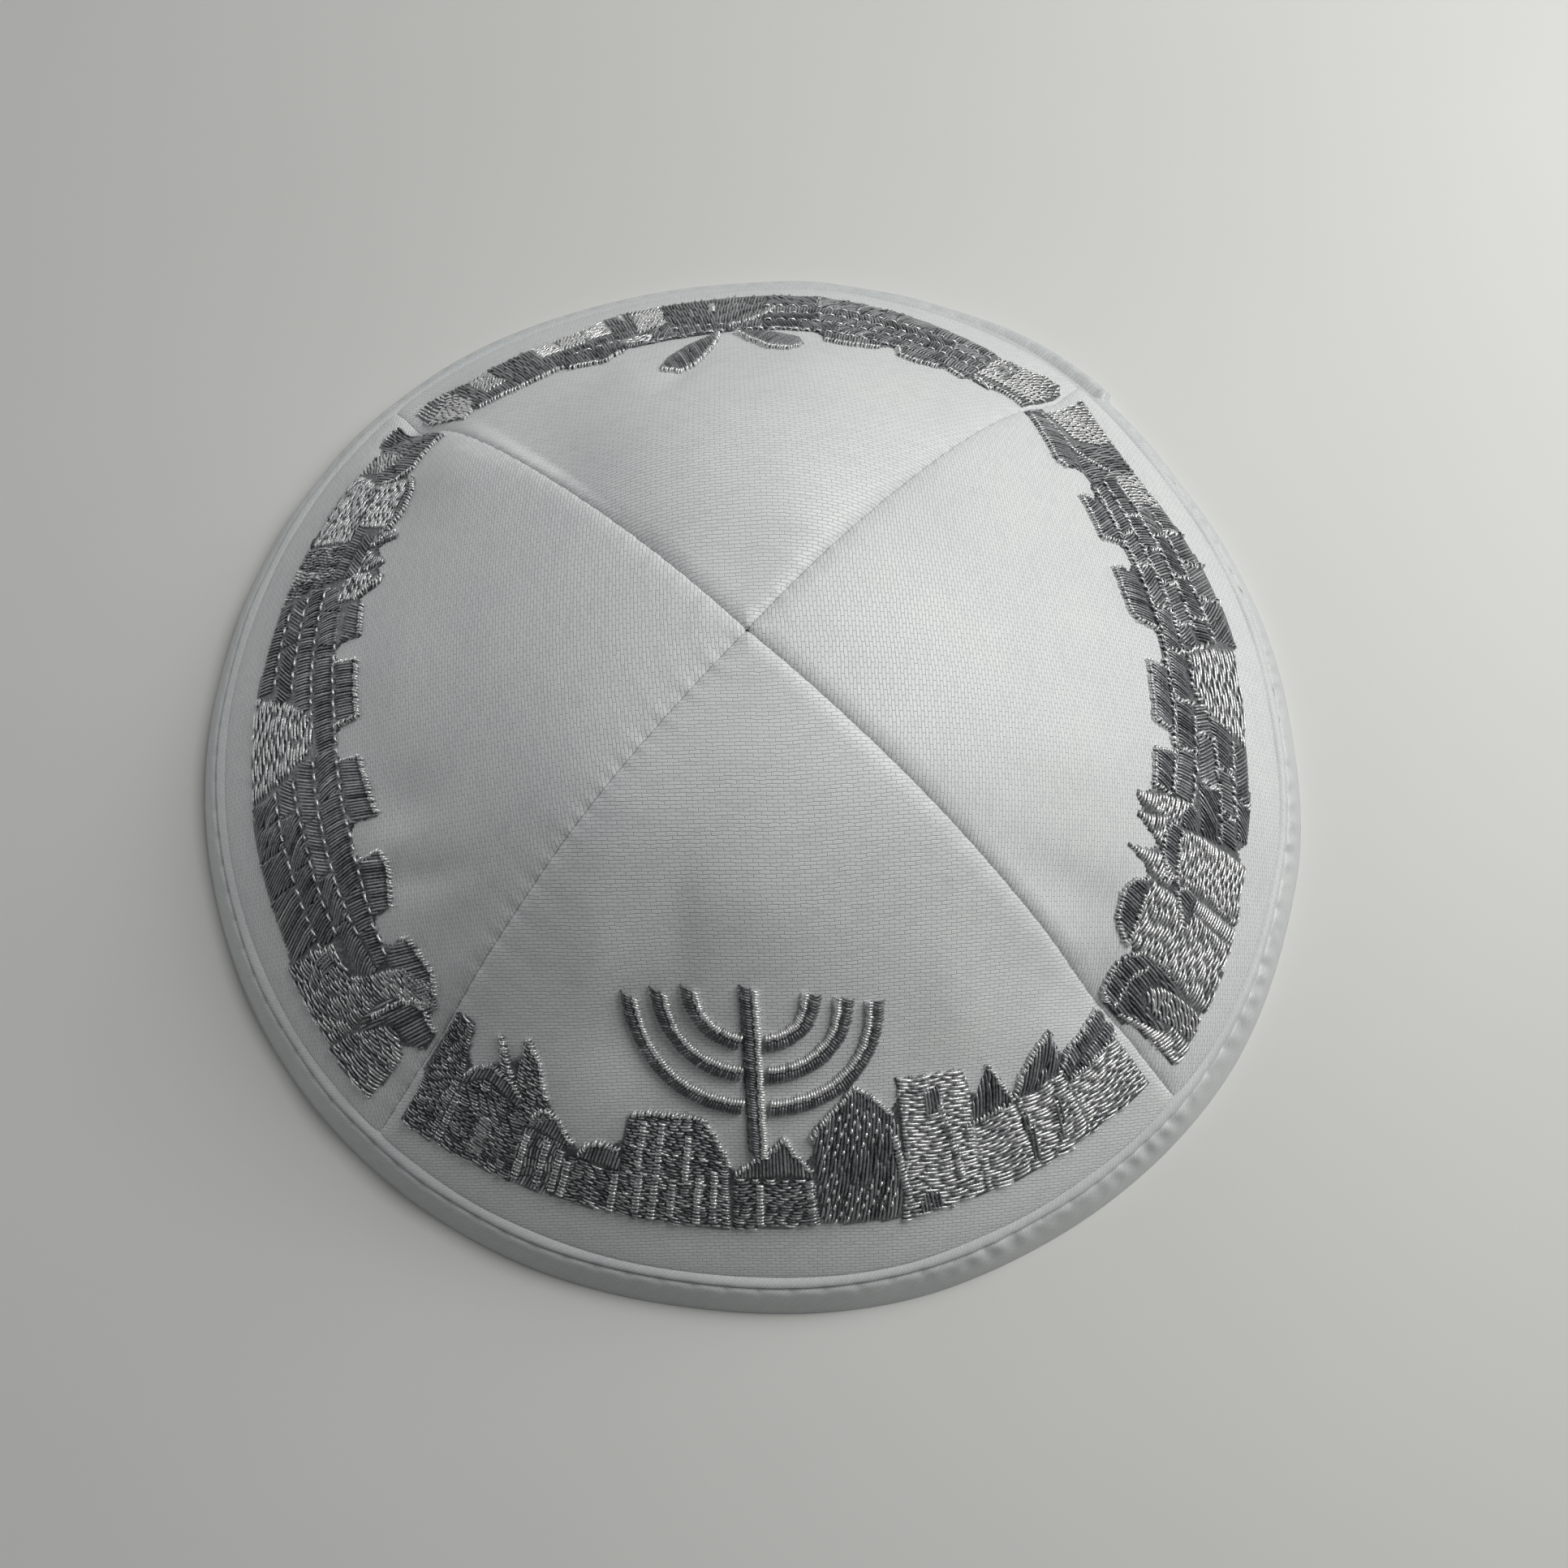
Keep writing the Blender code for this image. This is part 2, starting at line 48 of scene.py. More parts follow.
# the crown's surface, as the CAD source has it, worked out here for whole arrays of points
crown = {
    "rimRadius": 0.0800, "height": 0.0455, "apexForward": 0.0031, "wall": 0.0010,
    "quartic": 0.0857, "flatness": 0.10, "bandSwell": 0.022, "bandAt": 0.76, "bandSpread": 0.12,
    "pinchAcross": 0.075, "pinchAlong": 0.080, "swellAcross": 0.16, "swellAlong": 0.17,
    "pinchFade": (0.86, 0.93), "hemDrop": 0.0010, "hemFade": (0.83, 0.93), "probe": 0.004,
    # azimuth in degrees, radius as a share of rimRadius
    "outline": [
        (4, .988), (30, .985), (57, 1.013), (78, 1.009), (100, .993), (138, 1.011), (176, 1.0),
        (205, .995), (235, .993), (262, .990), (290, 1.009), (322, 1.017), (344, 1.003),
    ],
    # azimuth, where the seam pinches in and how far, where it swells and how far
    "seams": {
        "frontRight": (-42.7, .735, .050, .40, .012),
        "backRight": (48.8, .840, .036, .58, .018),
        "backLeft": (136.9, .860, .080, .64, .018),
        "frontLeft": (229.6, .755, .034, .38, .026),
    },
    "gores": {
        "right": ("frontRight", "backRight"), "back": ("backRight", "backLeft"),
        "left": ("backLeft", "frontLeft"), "front": ("frontLeft", "frontRight"),
    },
}
binding = {"width": 7.8, "grip": 2.6, "gap": 0.3}   # mm, gap being the play between tape and cloth


def smooth(value):
    value = np.clip(value, 0.0, 1.0)
    return value * value * (3.0 - 2.0 * value)


def ease(value, start, end):
    return smooth((value - start) / (end - start))


def hump(distance, spread):
    return np.exp(-(distance / spread) ** 2)


def rimRadiusAt(azimuth):
    first = crown["outline"][0]
    rows = np.array(crown["outline"] + [(first[0] + 360, first[1])], float)
    turn = (np.asarray(azimuth, float) - first[0]) % 360.0 + first[0]
    row = np.clip(np.searchsorted(rows[:, 0], turn, side="right") - 1, 0, len(rows) - 2)
    share = smooth((turn - rows[row, 0]) / (rows[row + 1, 0] - rows[row, 0]))
    return crown["rimRadius"] * (rows[row, 1] + (rows[row + 1, 1] - rows[row, 1]) * share)


def ringPoint(azimuth):
    turn = np.radians(azimuth)
    return rimRadiusAt(azimuth)[..., None] * np.stack([np.cos(turn), np.sin(turn), 0 * turn], -1)


charted = ringPoint(np.arange(360.0))
outlineMiddle = (charted.min(0) + charted.max(0)) / 2
apex = np.array([0.0, -crown["apexForward"], 0.0]) - outlineMiddle


def goreSpan(gore):
    start, end = (crown["seams"][seam][0] for seam in crown["gores"][gore])
    return start, end if end > start else end + 360.0


def placeIn(gore, azimuth):
    # from -1 at a gore's first seam to 1 at its second, and beyond 1 outside it
    start, end = goreSpan(gore)
    return 2.0 * ((azimuth - start) % 360.0) / (end - start) - 1.0


def dome(share):
    return 1.0 - (1.0 + crown["quartic"]) * share ** 2 + crown["quartic"] * share ** 4


def crownHeight(azimuth, along):
    inside = 0.0 * along
    for gore in crown["gores"]:
        place = placeIn(gore, azimuth)
        inside = np.where(place <= 1.0, 1.0 - place * place, inside)
    height = dome(along * (1.0 + crown["flatness"] * inside * (1.0 - along)))
    height = height + crown["bandSwell"] * inside * hump(along - crown["bandAt"], crown["bandSpread"])
    for seam, pinchAt, pinch, swellAt, swell in crown["seams"].values():
        away = np.radians((azimuth - seam + 180.0) % 360.0 - 180.0) * along
        pinch = pinch * (1.0 - ease(along, *crown["pinchFade"]))
        height -= pinch * hump(away, crown["pinchAcross"]) * hump(along - pinchAt, crown["pinchAlong"])
        height += swell * hump(away, crown["swellAcross"]) * hump(along - swellAt, crown["swellAlong"])
    return crown["height"] * height - crown["hemDrop"] * ease(along, *crown["hemFade"])


def crownPoint(azimuth, along):
    point = apex + along[..., None] * (ringPoint(azimuth) - outlineMiddle - apex)
    point[..., 2] = crownHeight(azimuth, along)
    return point


def crownNormal(azimuth, along):
    # probe is the short step down the slope that the normal is taken over
    probe = crown["probe"]
    slope = crownPoint(azimuth, along + probe) - crownPoint(azimuth, np.maximum(along - probe, 0.0))
    level = np.hypot(slope[..., 0], slope[..., 1])
    out = slope[..., :2] / level[..., None]
    normal = np.concatenate([-slope[..., 2:] * out, level[..., None]], -1)
    return normal / np.linalg.norm(normal, axis=-1, keepdims=True)


# slant is the length down the dome's slope, in mm up from the rim
alongRows = np.linspace(1.0, 0.0, 1601)
slantRows = np.concatenate([[0.0], np.cumsum(np.hypot(
    crown["rimRadius"] * np.diff(alongRows), crown["height"] * np.diff(dome(alongRows))))]) / mm


def alongAt(slant):
    return np.interp(slant, slantRows, alongRows)


def slantAt(along):
    return np.interp(-np.asarray(along), -alongRows, slantRows)


chartWidth = 50.0        # mm that one unit of place stands for, half a gore's width at the embroidery
# how the worn cloth lies, its heights being mm up from the binding
drape = {
    # the middle of these two gores stands out between its seams: height, spread and how far, in mm.
    # It fades out at the crown, by steepness and delay
    "fullness": {"front": (58.0, 16.0, 0.8), "back": (58.0, 20.0, 3.0)}, "crownFade": (6.0, 0.3),
    # the binding holds the cloth up a little all round, so the band above it lies flatter
    "bandLift": 1.05, "bandFade": (9.0, 0.6), "hemFade": (-1.4, -0.2), "seamFade": 12.0,
    # soft dents and folds: gore, place, height, how far across and up each spreads, its turn in
    # degrees and how far out it stands
    "dents": [
        ("left", 0.40, 36.0, 6.0, 5.0, 20, -0.40), ("left", 0.66, 33.0, 2.8, 9.0, -35, -0.45),
        ("left", 0.50, 32.0, 3.0, 6.0, -20, 0.35), ("left", -0.84, 33.0, 7.0, 9.0, 0, 0.9),
        ("left", -0.05, 38.0, 10.0, 6.0, 5, 0.35), ("left", 0.86, 30.0, 4.0, 9.0, -10, -0.5),
        ("back", 0.22, 39.0, 3.0, 7.0, -50, -0.5), ("back", 0.42, 36.0, 5.0, 6.0, -40, 0.35),
        ("back", 0.92, 40.0, 15.0, 15.0, 0, -1.5), ("back", -0.30, 38.0, 9.0, 6.0, 0, 0.35),
        ("right", -0.82, 30.0, 5.0, 12.0, 15, -0.8), ("right", -0.45, 42.0, 9.0, 10.0, 0, 0.4),
        ("front", -0.66, 42.0, 6.0, 9.0, 30, 0.45), ("front", 0.62, 32.0, 6.0, 8.0, -30, 0.5),
        ("front", 0.0, 52.0, 14.0, 8.0, 0, 0.4), ("front", -0.42, 33.0, 8.0, 8.0, 20, -1.2),
        ("front", -0.35, 46.0, 5.0, 10.0, 20, -0.35),
    ],
}


def relief(azimuth, along):
    height = slantAt(along) - binding["width"]
    total = 0.0 * along
    steepness, delay = drape["crownFade"]
    for gore, (level, up, far) in drape["fullness"].items():
        belly = np.clip(1.0 - placeIn(gore, azimuth) ** 2, 0.0, 1.0) * smooth(along * steepness - delay)
        total += far * belly * hump(height - level, up)
    for gore, place, level, across, up, turn, depth in drape["dents"]:
        here = placeIn(gore, azimuth)
        x = (here - place) * chartWidth
        y = height - level
        turn = math.radians(turn)
        bump = hump(x * math.cos(turn) + y * math.sin(turn), across)
        bump = bump * hump(y * math.cos(turn) - x * math.sin(turn), up)
        inGore = smooth((1.0 - np.abs(here)) * drape["seamFade"])
        total += np.where(here <= 1.0, depth * bump * inGore, 0.0)
    total += drape["bandLift"] * ease(height, *drape["bandFade"]) * ease(height, *drape["hemFade"])
    return total * mm


# the seam allowance turned under: a rounded shoulder, pulled in where each stitch holds it, and a
# slow wave along it, all in mm
seamEdge = {
    "depth": 0.60, "width": 2.5, "pull": 0.16, "pitch": 2.3, "pullReach": 0.9,
    "wave": 0.05, "waveLength": 5.3, "waveStray": 1.7, "strayLength": 7.0, "waveReach": 3.2, "hemFade": 3.0,
}


def seamRoll(fromEdge, slant, hemFade):
    share = np.clip(fromEdge / seamEdge["width"], 0.0, 1.0)
    sink = seamEdge["depth"] * (1.0 - np.sqrt(1.0 - (1.0 - share) ** 2))
    beat = np.cos(2.0 * math.pi * slant / seamEdge["pitch"])
    sink += seamEdge["pull"] * (0.5 + 0.5 * beat) * np.exp(-fromEdge / seamEdge["pullReach"])
    stray = seamEdge["waveStray"] * np.sin(slant / seamEdge["strayLength"])
    wave = np.sin(2.0 * math.pi * slant / seamEdge["waveLength"] + stray)
    sink += seamEdge["wave"] * wave * np.exp(-fromEdge / seamEdge["waveReach"])
    return sink * hemFade * mm


def clothPoint(gore, place, slant, proud=0.0):
    # a point of the visible cloth, its normal, and proud of it by so many mm
    start, end = goreSpan(gore)
    along = alongAt(slant)
    azimuth = 0.5 * (start + end) + 0.5 * place * (end - start)
    halfWidth = math.radians(0.5 * (end - start)) * crown["rimRadius"] / mm * along
    normal = crownNormal(azimuth, along)
    hem = binding["width"]
    hemFade = ease(slant, hem - binding["grip"], hem + seamEdge["hemFade"])
    lift = relief(azimuth, along) - seamRoll((1.0 - np.abs(place)) * halfWidth, slant, hemFade)
    return crownPoint(azimuth, along) + (lift + proud * mm)[..., None] * normal, normal


def linear(hexColour):
    # an sRGB hex value as linear red, green, blue and alpha
    parts = [int(hexColour[i:i + 2], 16) / 255 for i in (0, 2, 4)]
    return [c / 12.92 if c <= 0.04045 else ((c + 0.055) / 1.055) ** 2.4 for c in parts] + [1.0]


def addNode(tree, kind, settings=None, inputs=None):
    made = tree.nodes.new("ShaderNode" + kind)
    for name, value in (settings or {}).items():
        if name == "ramp":
            stops = made.color_ramp.elements
            for place, colour in value[1:-1]:
                stops.new(place).color = linear(colour)
            for stop, (place, colour) in ((stops[0], value[0]), (stops[-1], value[-1])):
                stop.position = place
                stop.color = linear(colour)
        else:
            setattr(made, name, value)
    for name, value in (inputs or {}).items():
        if isinstance(value, bpy.types.NodeSocket):
            tree.links.new(value, made.inputs[name])
        else:
            made.inputs[name].default_value = value
    return made


def newMaterial(name):
    material = bpy.data.materials.new(name)
    material.use_nodes = True
    return material, material.node_tree, material.node_tree.nodes["Principled BSDF"]


def satinWeave(name, look):
    # woven satin: long floats lie side by side over the face, so light slides along them. The cloth's
    # own coordinates are in mm, so each scale here counts by the mm
    material, tree, shader = newMaterial(name)
    cloth = addNode(tree, "UVMap", {"uv_map": "cloth"}).outputs["UV"]
    bias = math.radians(look["bias"])
    turned = addNode(tree, "Mapping", {}, {"Vector": cloth, "Rotation": (0, 0, bias)})
    stray = addNode(tree, "TexNoise", {}, {"Vector": cloth, "Scale": 0.9, "Detail": 1.0})
    wander = addNode(tree, "VectorMath", {"operation": "MULTIPLY_ADD"}, {
        0: stray.outputs["Color"], 1: (0.4, 0.3, 0.0), 2: turned.outputs["Vector"]})
    # real floats are about 0.12 mm apart, too fine to show here, so they are drawn at 0.40 to 0.46 mm
    floats = addNode(tree, "TexBrick", {"offset": 0.5}, {
        "Vector": wander.outputs["Vector"], "Scale": 1.0, "Brick Width": look["floatLength"],
        "Row Height": look["floatPitch"], "Mortar Size": 0.085, "Mortar Smooth": 1.0,
        "Color1": (0.5, 0.5, 0.5, 1), "Color2": (0.8, 0.8, 0.8, 1), "Mortar": (0.0, 0.0, 0.0, 1)})
    slubSpace = addNode(tree, "Mapping", {}, {
        "Vector": wander.outputs["Vector"], "Scale": (0.7, 2.2, 1)})
    slubs = addNode(tree, "TexNoise", {}, {
        "Vector": slubSpace.outputs["Vector"], "Scale": 1.0, "Detail": 2.0, "Roughness": 0.6})
    cloud = addNode(tree, "TexNoise", {}, {"Vector": cloth, "Scale": 0.06, "Detail": 2.0})
    mixed = addNode(tree, "Mix", {"data_type": "RGBA"}, {
        0: 0.3, 6: floats.outputs["Color"], 7: slubs.outputs["Color"]})
    tint = addNode(tree, "ValToRGB", {"ramp": look["tint"]}, {"Fac": mixed.outputs[2]})
    soft = addNode(tree, "ValToRGB", {"ramp": [(0.3, "F4F6F7"), (0.7, "FDFDFD")]}, {
        "Fac": cloud.outputs["Fac"]})
    colour = addNode(tree, "Mix", {"data_type": "RGBA", "blend_type": "MULTIPLY"}, {
        0: 1.0, 6: tint.outputs["Color"], 7: soft.outputs["Color"]})
    gloss = addNode(tree, "MapRange", {}, {
        "Value": slubs.outputs["Fac"],
        "To Min": look["roughness"] - 0.06, "To Max": look["roughness"] + 0.08})
    bump = addNode(tree, "Bump", {}, {
        "Height": mixed.outputs[2], "Strength": look["bump"], "Distance": 0.06 * mm})
    tangent = addNode(tree, "Tangent", {"direction_type": "UV_MAP", "uv_map": "cloth"})
    for socket, value in {
            "Base Color": colour.outputs[2], "Roughness": gloss.outputs["Result"],
            "Normal": bump.outputs["Normal"], "Tangent": tangent.outputs["Tangent"]}.items():
        tree.links.new(value, shader.inputs[socket])
    shader.inputs["IOR"].default_value = 1.54            # polyester filament
    shader.inputs["Anisotropic"].default_value = 0.6
    # a quarter turn, so light spreads across the floats and stays tight along them
    shader.inputs["Anisotropic Rotation"].default_value = 0.25
    shader.inputs["Sheen Weight"].default_value = 0.12
    shader.inputs["Sheen Roughness"].default_value = 0.4
    return material


def lurexThread(name, look):
    # metallised polyester foil wound on a core: a mirror broken into small turns, so it sparkles
    material, tree, shader = newMaterial(name)
    tone = addNode(tree, "Attribute", {"attribute_name": "tone"}).outputs["Fac"]
    place = addNode(tree, "TexCoord").outputs["Object"]
    # the foil winds round 2.6 times in a mm, and the thread's tension drifts over 2.4 mm
    glint = addNode(tree, "TexNoise", {}, {"Vector": place, "Scale": 2.6 / mm, "Detail": 2.0})
    patch = addNode(tree, "TexNoise", {}, {"Vector": place, "Scale": 0.42 / mm, "Detail": 2.0})
    stir, drift = (addNode(tree, "MapRange", {}, {
        "Value": noise.outputs["Fac"], "From Min": 0.3, "From Max": 0.7, "To Min": -far, "To Max": far})
        for noise, far in ((glint, 0.12), (patch, 0.07)))
    both = addNode(tree, "Math", {"operation": "ADD"}, {
        0: stir.outputs["Result"], 1: drift.outputs["Result"]})
    total = addNode(tree, "Math", {"operation": "ADD", "use_clamp": True}, {0: tone, 1: both.outputs[0]})
    colour = addNode(tree, "ValToRGB", {"ramp": look["tint"]}, {"Fac": total.outputs[0]})
    gloss = addNode(tree, "MapRange", {}, {
        "Value": glint.outputs["Fac"],
        "To Min": look["roughness"] - 0.12, "To Max": look["roughness"] + 0.14})
    bump = addNode(tree, "Bump", {}, {
        "Height": glint.outputs["Fac"], "Strength": 0.8, "Distance": look["turns"] * mm})
    for socket, value in {
            "Base Color": colour.outputs["Color"], "Roughness": gloss.outputs["Result"],
            "Normal": bump.outputs["Normal"]}.items():
        tree.links.new(value, shader.inputs[socket])
    shader.inputs["Metallic"].default_value = look["metallic"]
    return material


def cottonThread():
    # spun polyester sewing thread: matt, a little fuzzy, white
    material, tree, shader = newMaterial("spun polyester sewing thread")
    place = addNode(tree, "TexCoord").outputs["Object"]
    fuzz = addNode(tree, "TexNoise", {}, {"Vector": place, "Scale": 3.0 / mm, "Detail": 3.0})
    colour = addNode(tree, "ValToRGB", {"ramp": [(0.3, "DADCDC"), (0.7, "F1F2F2")]}, {
        "Fac": fuzz.outputs["Fac"]})
    bump = addNode(tree, "Bump", {}, {
        "Height": fuzz.outputs["Fac"], "Strength": 0.5, "Distance": 0.05 * mm})
    tree.links.new(colour.outputs["Color"], shader.inputs["Base Color"])
    tree.links.new(bump.outputs["Normal"], shader.inputs["Normal"])
    shader.inputs["Roughness"].default_value = 0.6
    shader.inputs["IOR"].default_value = 1.54
    shader.inputs["Sheen Weight"].default_value = 0.2
    return material


satin = satinWeave("duchesse satin weave", {
    "floatLength": 1.3, "floatPitch": 0.46, "bias": 0, "roughness": 0.42, "bump": 1.0,
    "tint": [(0.05, "BEC2C2"), (0.38, "EAEDED"), (0.6, "FDFEFE")]})
tape = satinWeave("bias-cut satin tape", {
    "floatLength": 1.6, "floatPitch": 0.4, "bias": 45, "roughness": 0.36, "bump": 0.3,
    "tint": [(0.10, "D2D5D5"), (0.5, "E5E7E7"), (0.85, "F0F2F2")]})
# the grey thread's foil shows its matt core between the turns, the silver one is all foil
lurex = [
    lurexThread("gunmetal lurex embroidery thread", {
        "metallic": 0.5, "roughness": 0.34, "turns": 0.12,
        "tint": [(0.0, "686A6D"), (0.2, "A4A6A9"), (0.5, "D4D6D8")]}),
    lurexThread("silver lurex embroidery thread", {
        "metallic": 0.65, "roughness": 0.32, "turns": 0.16,
        "tint": [(0.45, "B4B6B9"), (0.7, "E6E8EA"), (0.9, "FFFFFF")]}),
]
silverFrom = 0.5         # the tone from which a stitch is of silver thread
cotton = cottonThread()
print("materials made")


def addPiece(name, points, faces, material, replaces, uv=None, tone=None, turnOut=False, marks=None):
    mesh = bpy.data.meshes.new(name)
    mesh.from_pydata(points.tolist(), [], faces)
    for one in material if isinstance(material, list) else [material]:
        mesh.materials.append(one)
    if marks is not None:
        mesh.polygons.foreach_set("material_index", np.asarray(marks, np.int32))
    if uv is not None:
        layer = mesh.uv_layers.new(name="cloth")
        index = np.zeros(len(mesh.loops), np.int32)
        mesh.loops.foreach_get("vertex_index", index)
        layer.data.foreach_set("uv", uv[index].astype(np.float32).ravel())
    if tone is not None:
        mesh.attributes.new("tone", "FLOAT", "POINT").data.foreach_set("value", tone.astype(np.float32))
    if turnOut:
        work = bmesh.new()
        work.from_mesh(mesh)
        bmesh.ops.recalc_face_normals(work, faces=work.faces)
        work.to_mesh(mesh)
        work.free()
    mesh.shade_smooth()
    mesh.update()
    piece = bpy.data.objects.new(name, mesh)
    bpy.context.scene.collection.objects.link(piece)
    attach(piece, "root")
    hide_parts(replaces)
    return piece


def gridFaces(rows, columns, first=0, flip=False):
    corner = (np.arange(rows)[:, None] * (columns + 1) + np.arange(columns)).ravel() + first
    quads = np.stack([corner, corner + columns + 1, corner + columns + 2, corner + 1], 1)
    return (quads[:, ::-1] if flip else quads).tolist()


# a gore's mesh: rows and columns, how much coarser its inside is, the gap at a seam in mm, where it
# starts at the crown, how its columns crowd to the seams, and how wide it turns when laid flat
goreCut = {"rows": 174, "columns": 144, "inside": 3, "seamGap": 0.04, "start": 0.003, "crowding": 1.5,
           "leastWidth": 0.1, "flatTurn": 0.96}


def goreShell(gore):
    # one gore cut from satin on its backing: a fine outer face, a plain inner one, closed at its edges
    start, end = goreSpan(gore)
    halfTurn = math.radians(0.5 * (end - start))

    def sheet(rows, columns, proud):
        hem = alongAt(binding["width"] - binding["grip"])
        along = np.linspace(goreCut["start"], hem, rows + 1)[:, None]
        step = np.linspace(-1.0, 1.0, columns + 1)[None, :]
        place = np.sign(step) * (1.0 - (1.0 - np.abs(step)) ** goreCut["crowding"])
        width = halfTurn * crown["rimRadius"] / mm * along
        place = place * np.maximum(1.0 - goreCut["seamGap"] / width, goreCut["leastWidth"])
        slant = slantAt(along) + 0.0 * place
        points, _ = clothPoint(gore, place, slant, proud + 0.0 * place)
        fromApex = slantRows[-1] - slant
        turn = place * halfTurn * goreCut["flatTurn"]        # laid flat, so the floats run straight over it
        flat = np.stack([fromApex * np.sin(turn), fromApex * np.cos(turn)], -1)
        return points.reshape(-1, 3), flat.reshape(-1, 2)

    rows, columns, skip = goreCut["rows"], goreCut["columns"], goreCut["inside"]
    outer, outerFlat = sheet(rows, columns, 0.0)
    inner, innerFlat = sheet(rows // skip, columns // skip, -crown["wall"] / mm)
    faces = gridFaces(rows, columns) + gridFaces(rows // skip, columns // skip, len(outer), flip=True)

    def border(rows, columns):
        across = columns + 1
        return (list(range(columns))
                + [row * across + columns for row in range(rows)]
                + [rows * across + column for column in range(columns, 0, -1)]
                + [row * across for row in range(rows, 0, -1)])

    fine = border(rows, columns)
    coarse = [index + len(outer) for index in border(rows // skip, columns // skip)]
    for i, index in enumerate(coarse):
        run = [fine[(i * skip + k) % len(fine)] for k in range(skip + 1)]
        faces.append(run + [coarse[(i + 1) % len(coarse)], index])
    return addPiece("satin_gore_" + gore, np.concatenate([outer, inner]), faces, satin,
                    "gore_" + gore, uv=np.concatenate([outerFlat, innerFlat]), turnOut=True)


goreShells = {gore: goreShell(gore) for gore in crown["gores"]}
print("gores sewn")


# a thread's tube: corners round it, knots along it, its ends' width and its height as shares of its width
sides, knots, endWidth, flatness = 4, 5, 0.7, 0.8


def tubes(spine, up, width):
    # a closed tube of thread along each row of points, up being the cloth's normal and width in mm
    share = np.linspace(0.0, 1.0, knots)[None, :]
    way = np.gradient(spine, axis=1)
    way /= np.linalg.norm(way, axis=-1, keepdims=True)
    side = np.cross(way, up)
    side /= np.linalg.norm(side, axis=-1, keepdims=True)
    rise = np.cross(side, way)
    half = width * mm * 0.5 * np.where((share == 0) | (share == 1), endWidth, 1.0)
    turn = 2.0 * math.pi * np.arange(sides) / sides + 0.5 * math.pi
    ring = np.cos(turn)[:, None] * side[:, :, None, :]
    ring = ring + flatness * np.sin(turn)[:, None] * rise[:, :, None, :]
    points = spine[:, :, None, :] + half[:, :, None, None] * ring
    first = np.arange(len(spine)) * knots * sides
    knot = (np.arange(knots - 1) * sides)[None, :, None]
    one = np.arange(sides)[None, None, :]
    two = (one + 1) % sides
    base = first[:, None, None]
    quads = np.stack([base + knot + one, base + knot + sides + one, base + knot + sides + two,
                      base + knot + two], -1).reshape(-1, 4).tolist()
    start = first[:, None] + np.arange(sides)[None, :]
    end = (start + (knots - 1) * sides)[:, ::-1]
    return points.reshape(-1, 3), quads + start.tolist() + end.tolist()


# the rim's binding: a folded tape with a rolled inner ridge, a line of stitches below it and a plain
# slope, all in mm
rim = {
    # across the tape, up from the rim's edge, and how far it stands off the crown
    "outer": [
        (8.20, 0.0), (8.16, 0.30), (8.02, 0.62), (7.84, 0.95), (7.62, 1.24), (7.38, 1.47), (7.12, 1.62),
        (6.86, 1.69), (6.66, 1.67), (6.52, 1.57), (6.38, 1.44), (6.24, 1.55), (6.06, 1.66), (5.70, 1.70),
        (5.25, 1.69), (4.60, 1.61), (3.80, 1.45), (2.95, 1.24), (2.15, 1.01), (1.45, 0.76), (1.00, 0.54),
    ],
    # the foot, inwards from the rim's edge and up from the table
    "foot": [(0.25, 0.0), (1.4, 0.0), (2.4, 0.0), (2.7, 0.35)],
    # the inside, up from the rim's edge, and how far it stands in from the slot that holds the cloth
    "inside": [(3.9, 0.55), (5.6, 0.7), (7.3, 0.75), (7.8, 0.6), (7.95, 0.3), (7.75, 0.0)],
    "slotTurn": 2.6, "slotFoot": 1.2, "slotTop": 6.6, "slotFloor": 0.3,
    "steps": 1500, "ridgeRows": 2,
}
# white sewing thread: where its line lies below the ridge, a stitch's pitch, the share of it that
# shows, its height, arch and thickness
stitch = {"line": 1.6, "pitch": 4.4, "shows": (0.08, 0.92), "lift": 1.36, "rise": 0.12, "width": 0.22}
# what the stitches do to the tape, in mm: they pull it in, it swells between them and creases below
# them, most at the cap's right, and it waves slowly all round. A stray is (how far, over what length)
# and the creases' beat (how deep, over what length, how shifted)
pucker = {
    "pull": 0.24, "sharpness": 1.5, "pullAt": -0.05, "pullReach": 0.40,
    "swell": 0.08, "swellAt": -0.55, "swellReach": 0.45,
    "crease": 0.17, "creasePitch": 3.1, "creaseAt": -1.1, "creaseReach": 1.3,
    "creaseFacing": -12.0, "creaseFade": (0.25, 0.75), "creaseStray": (1.3, 6.3), "creaseSlant": 0.5,
    "creaseBeat": (0.4, 4.1, 2.0), "wave": 0.07, "waveLength": 3.7, "waveStray": (2.0, 17.0),
    "waveFade": (0.5, 3.0), "footFade": (0.3, 1.2),
}
# the tape's rounded end over its start: its azimuth, how many degrees it takes to sink away, and the
# valley beside it
lap = {
    "start": 45.4, "turn": 34.0, "rise": 1.05, "middle": 4.0, "halfWidth": 3.0, "slope": 0.6,
    "footFade": (0.6, 2.2), "topFade": (6.2, 5.5),
    "valley": 1.30, "valleyAt": 6.5, "valleySpread": 0.60, "valleyFrom": (1.0, 1.5),
}


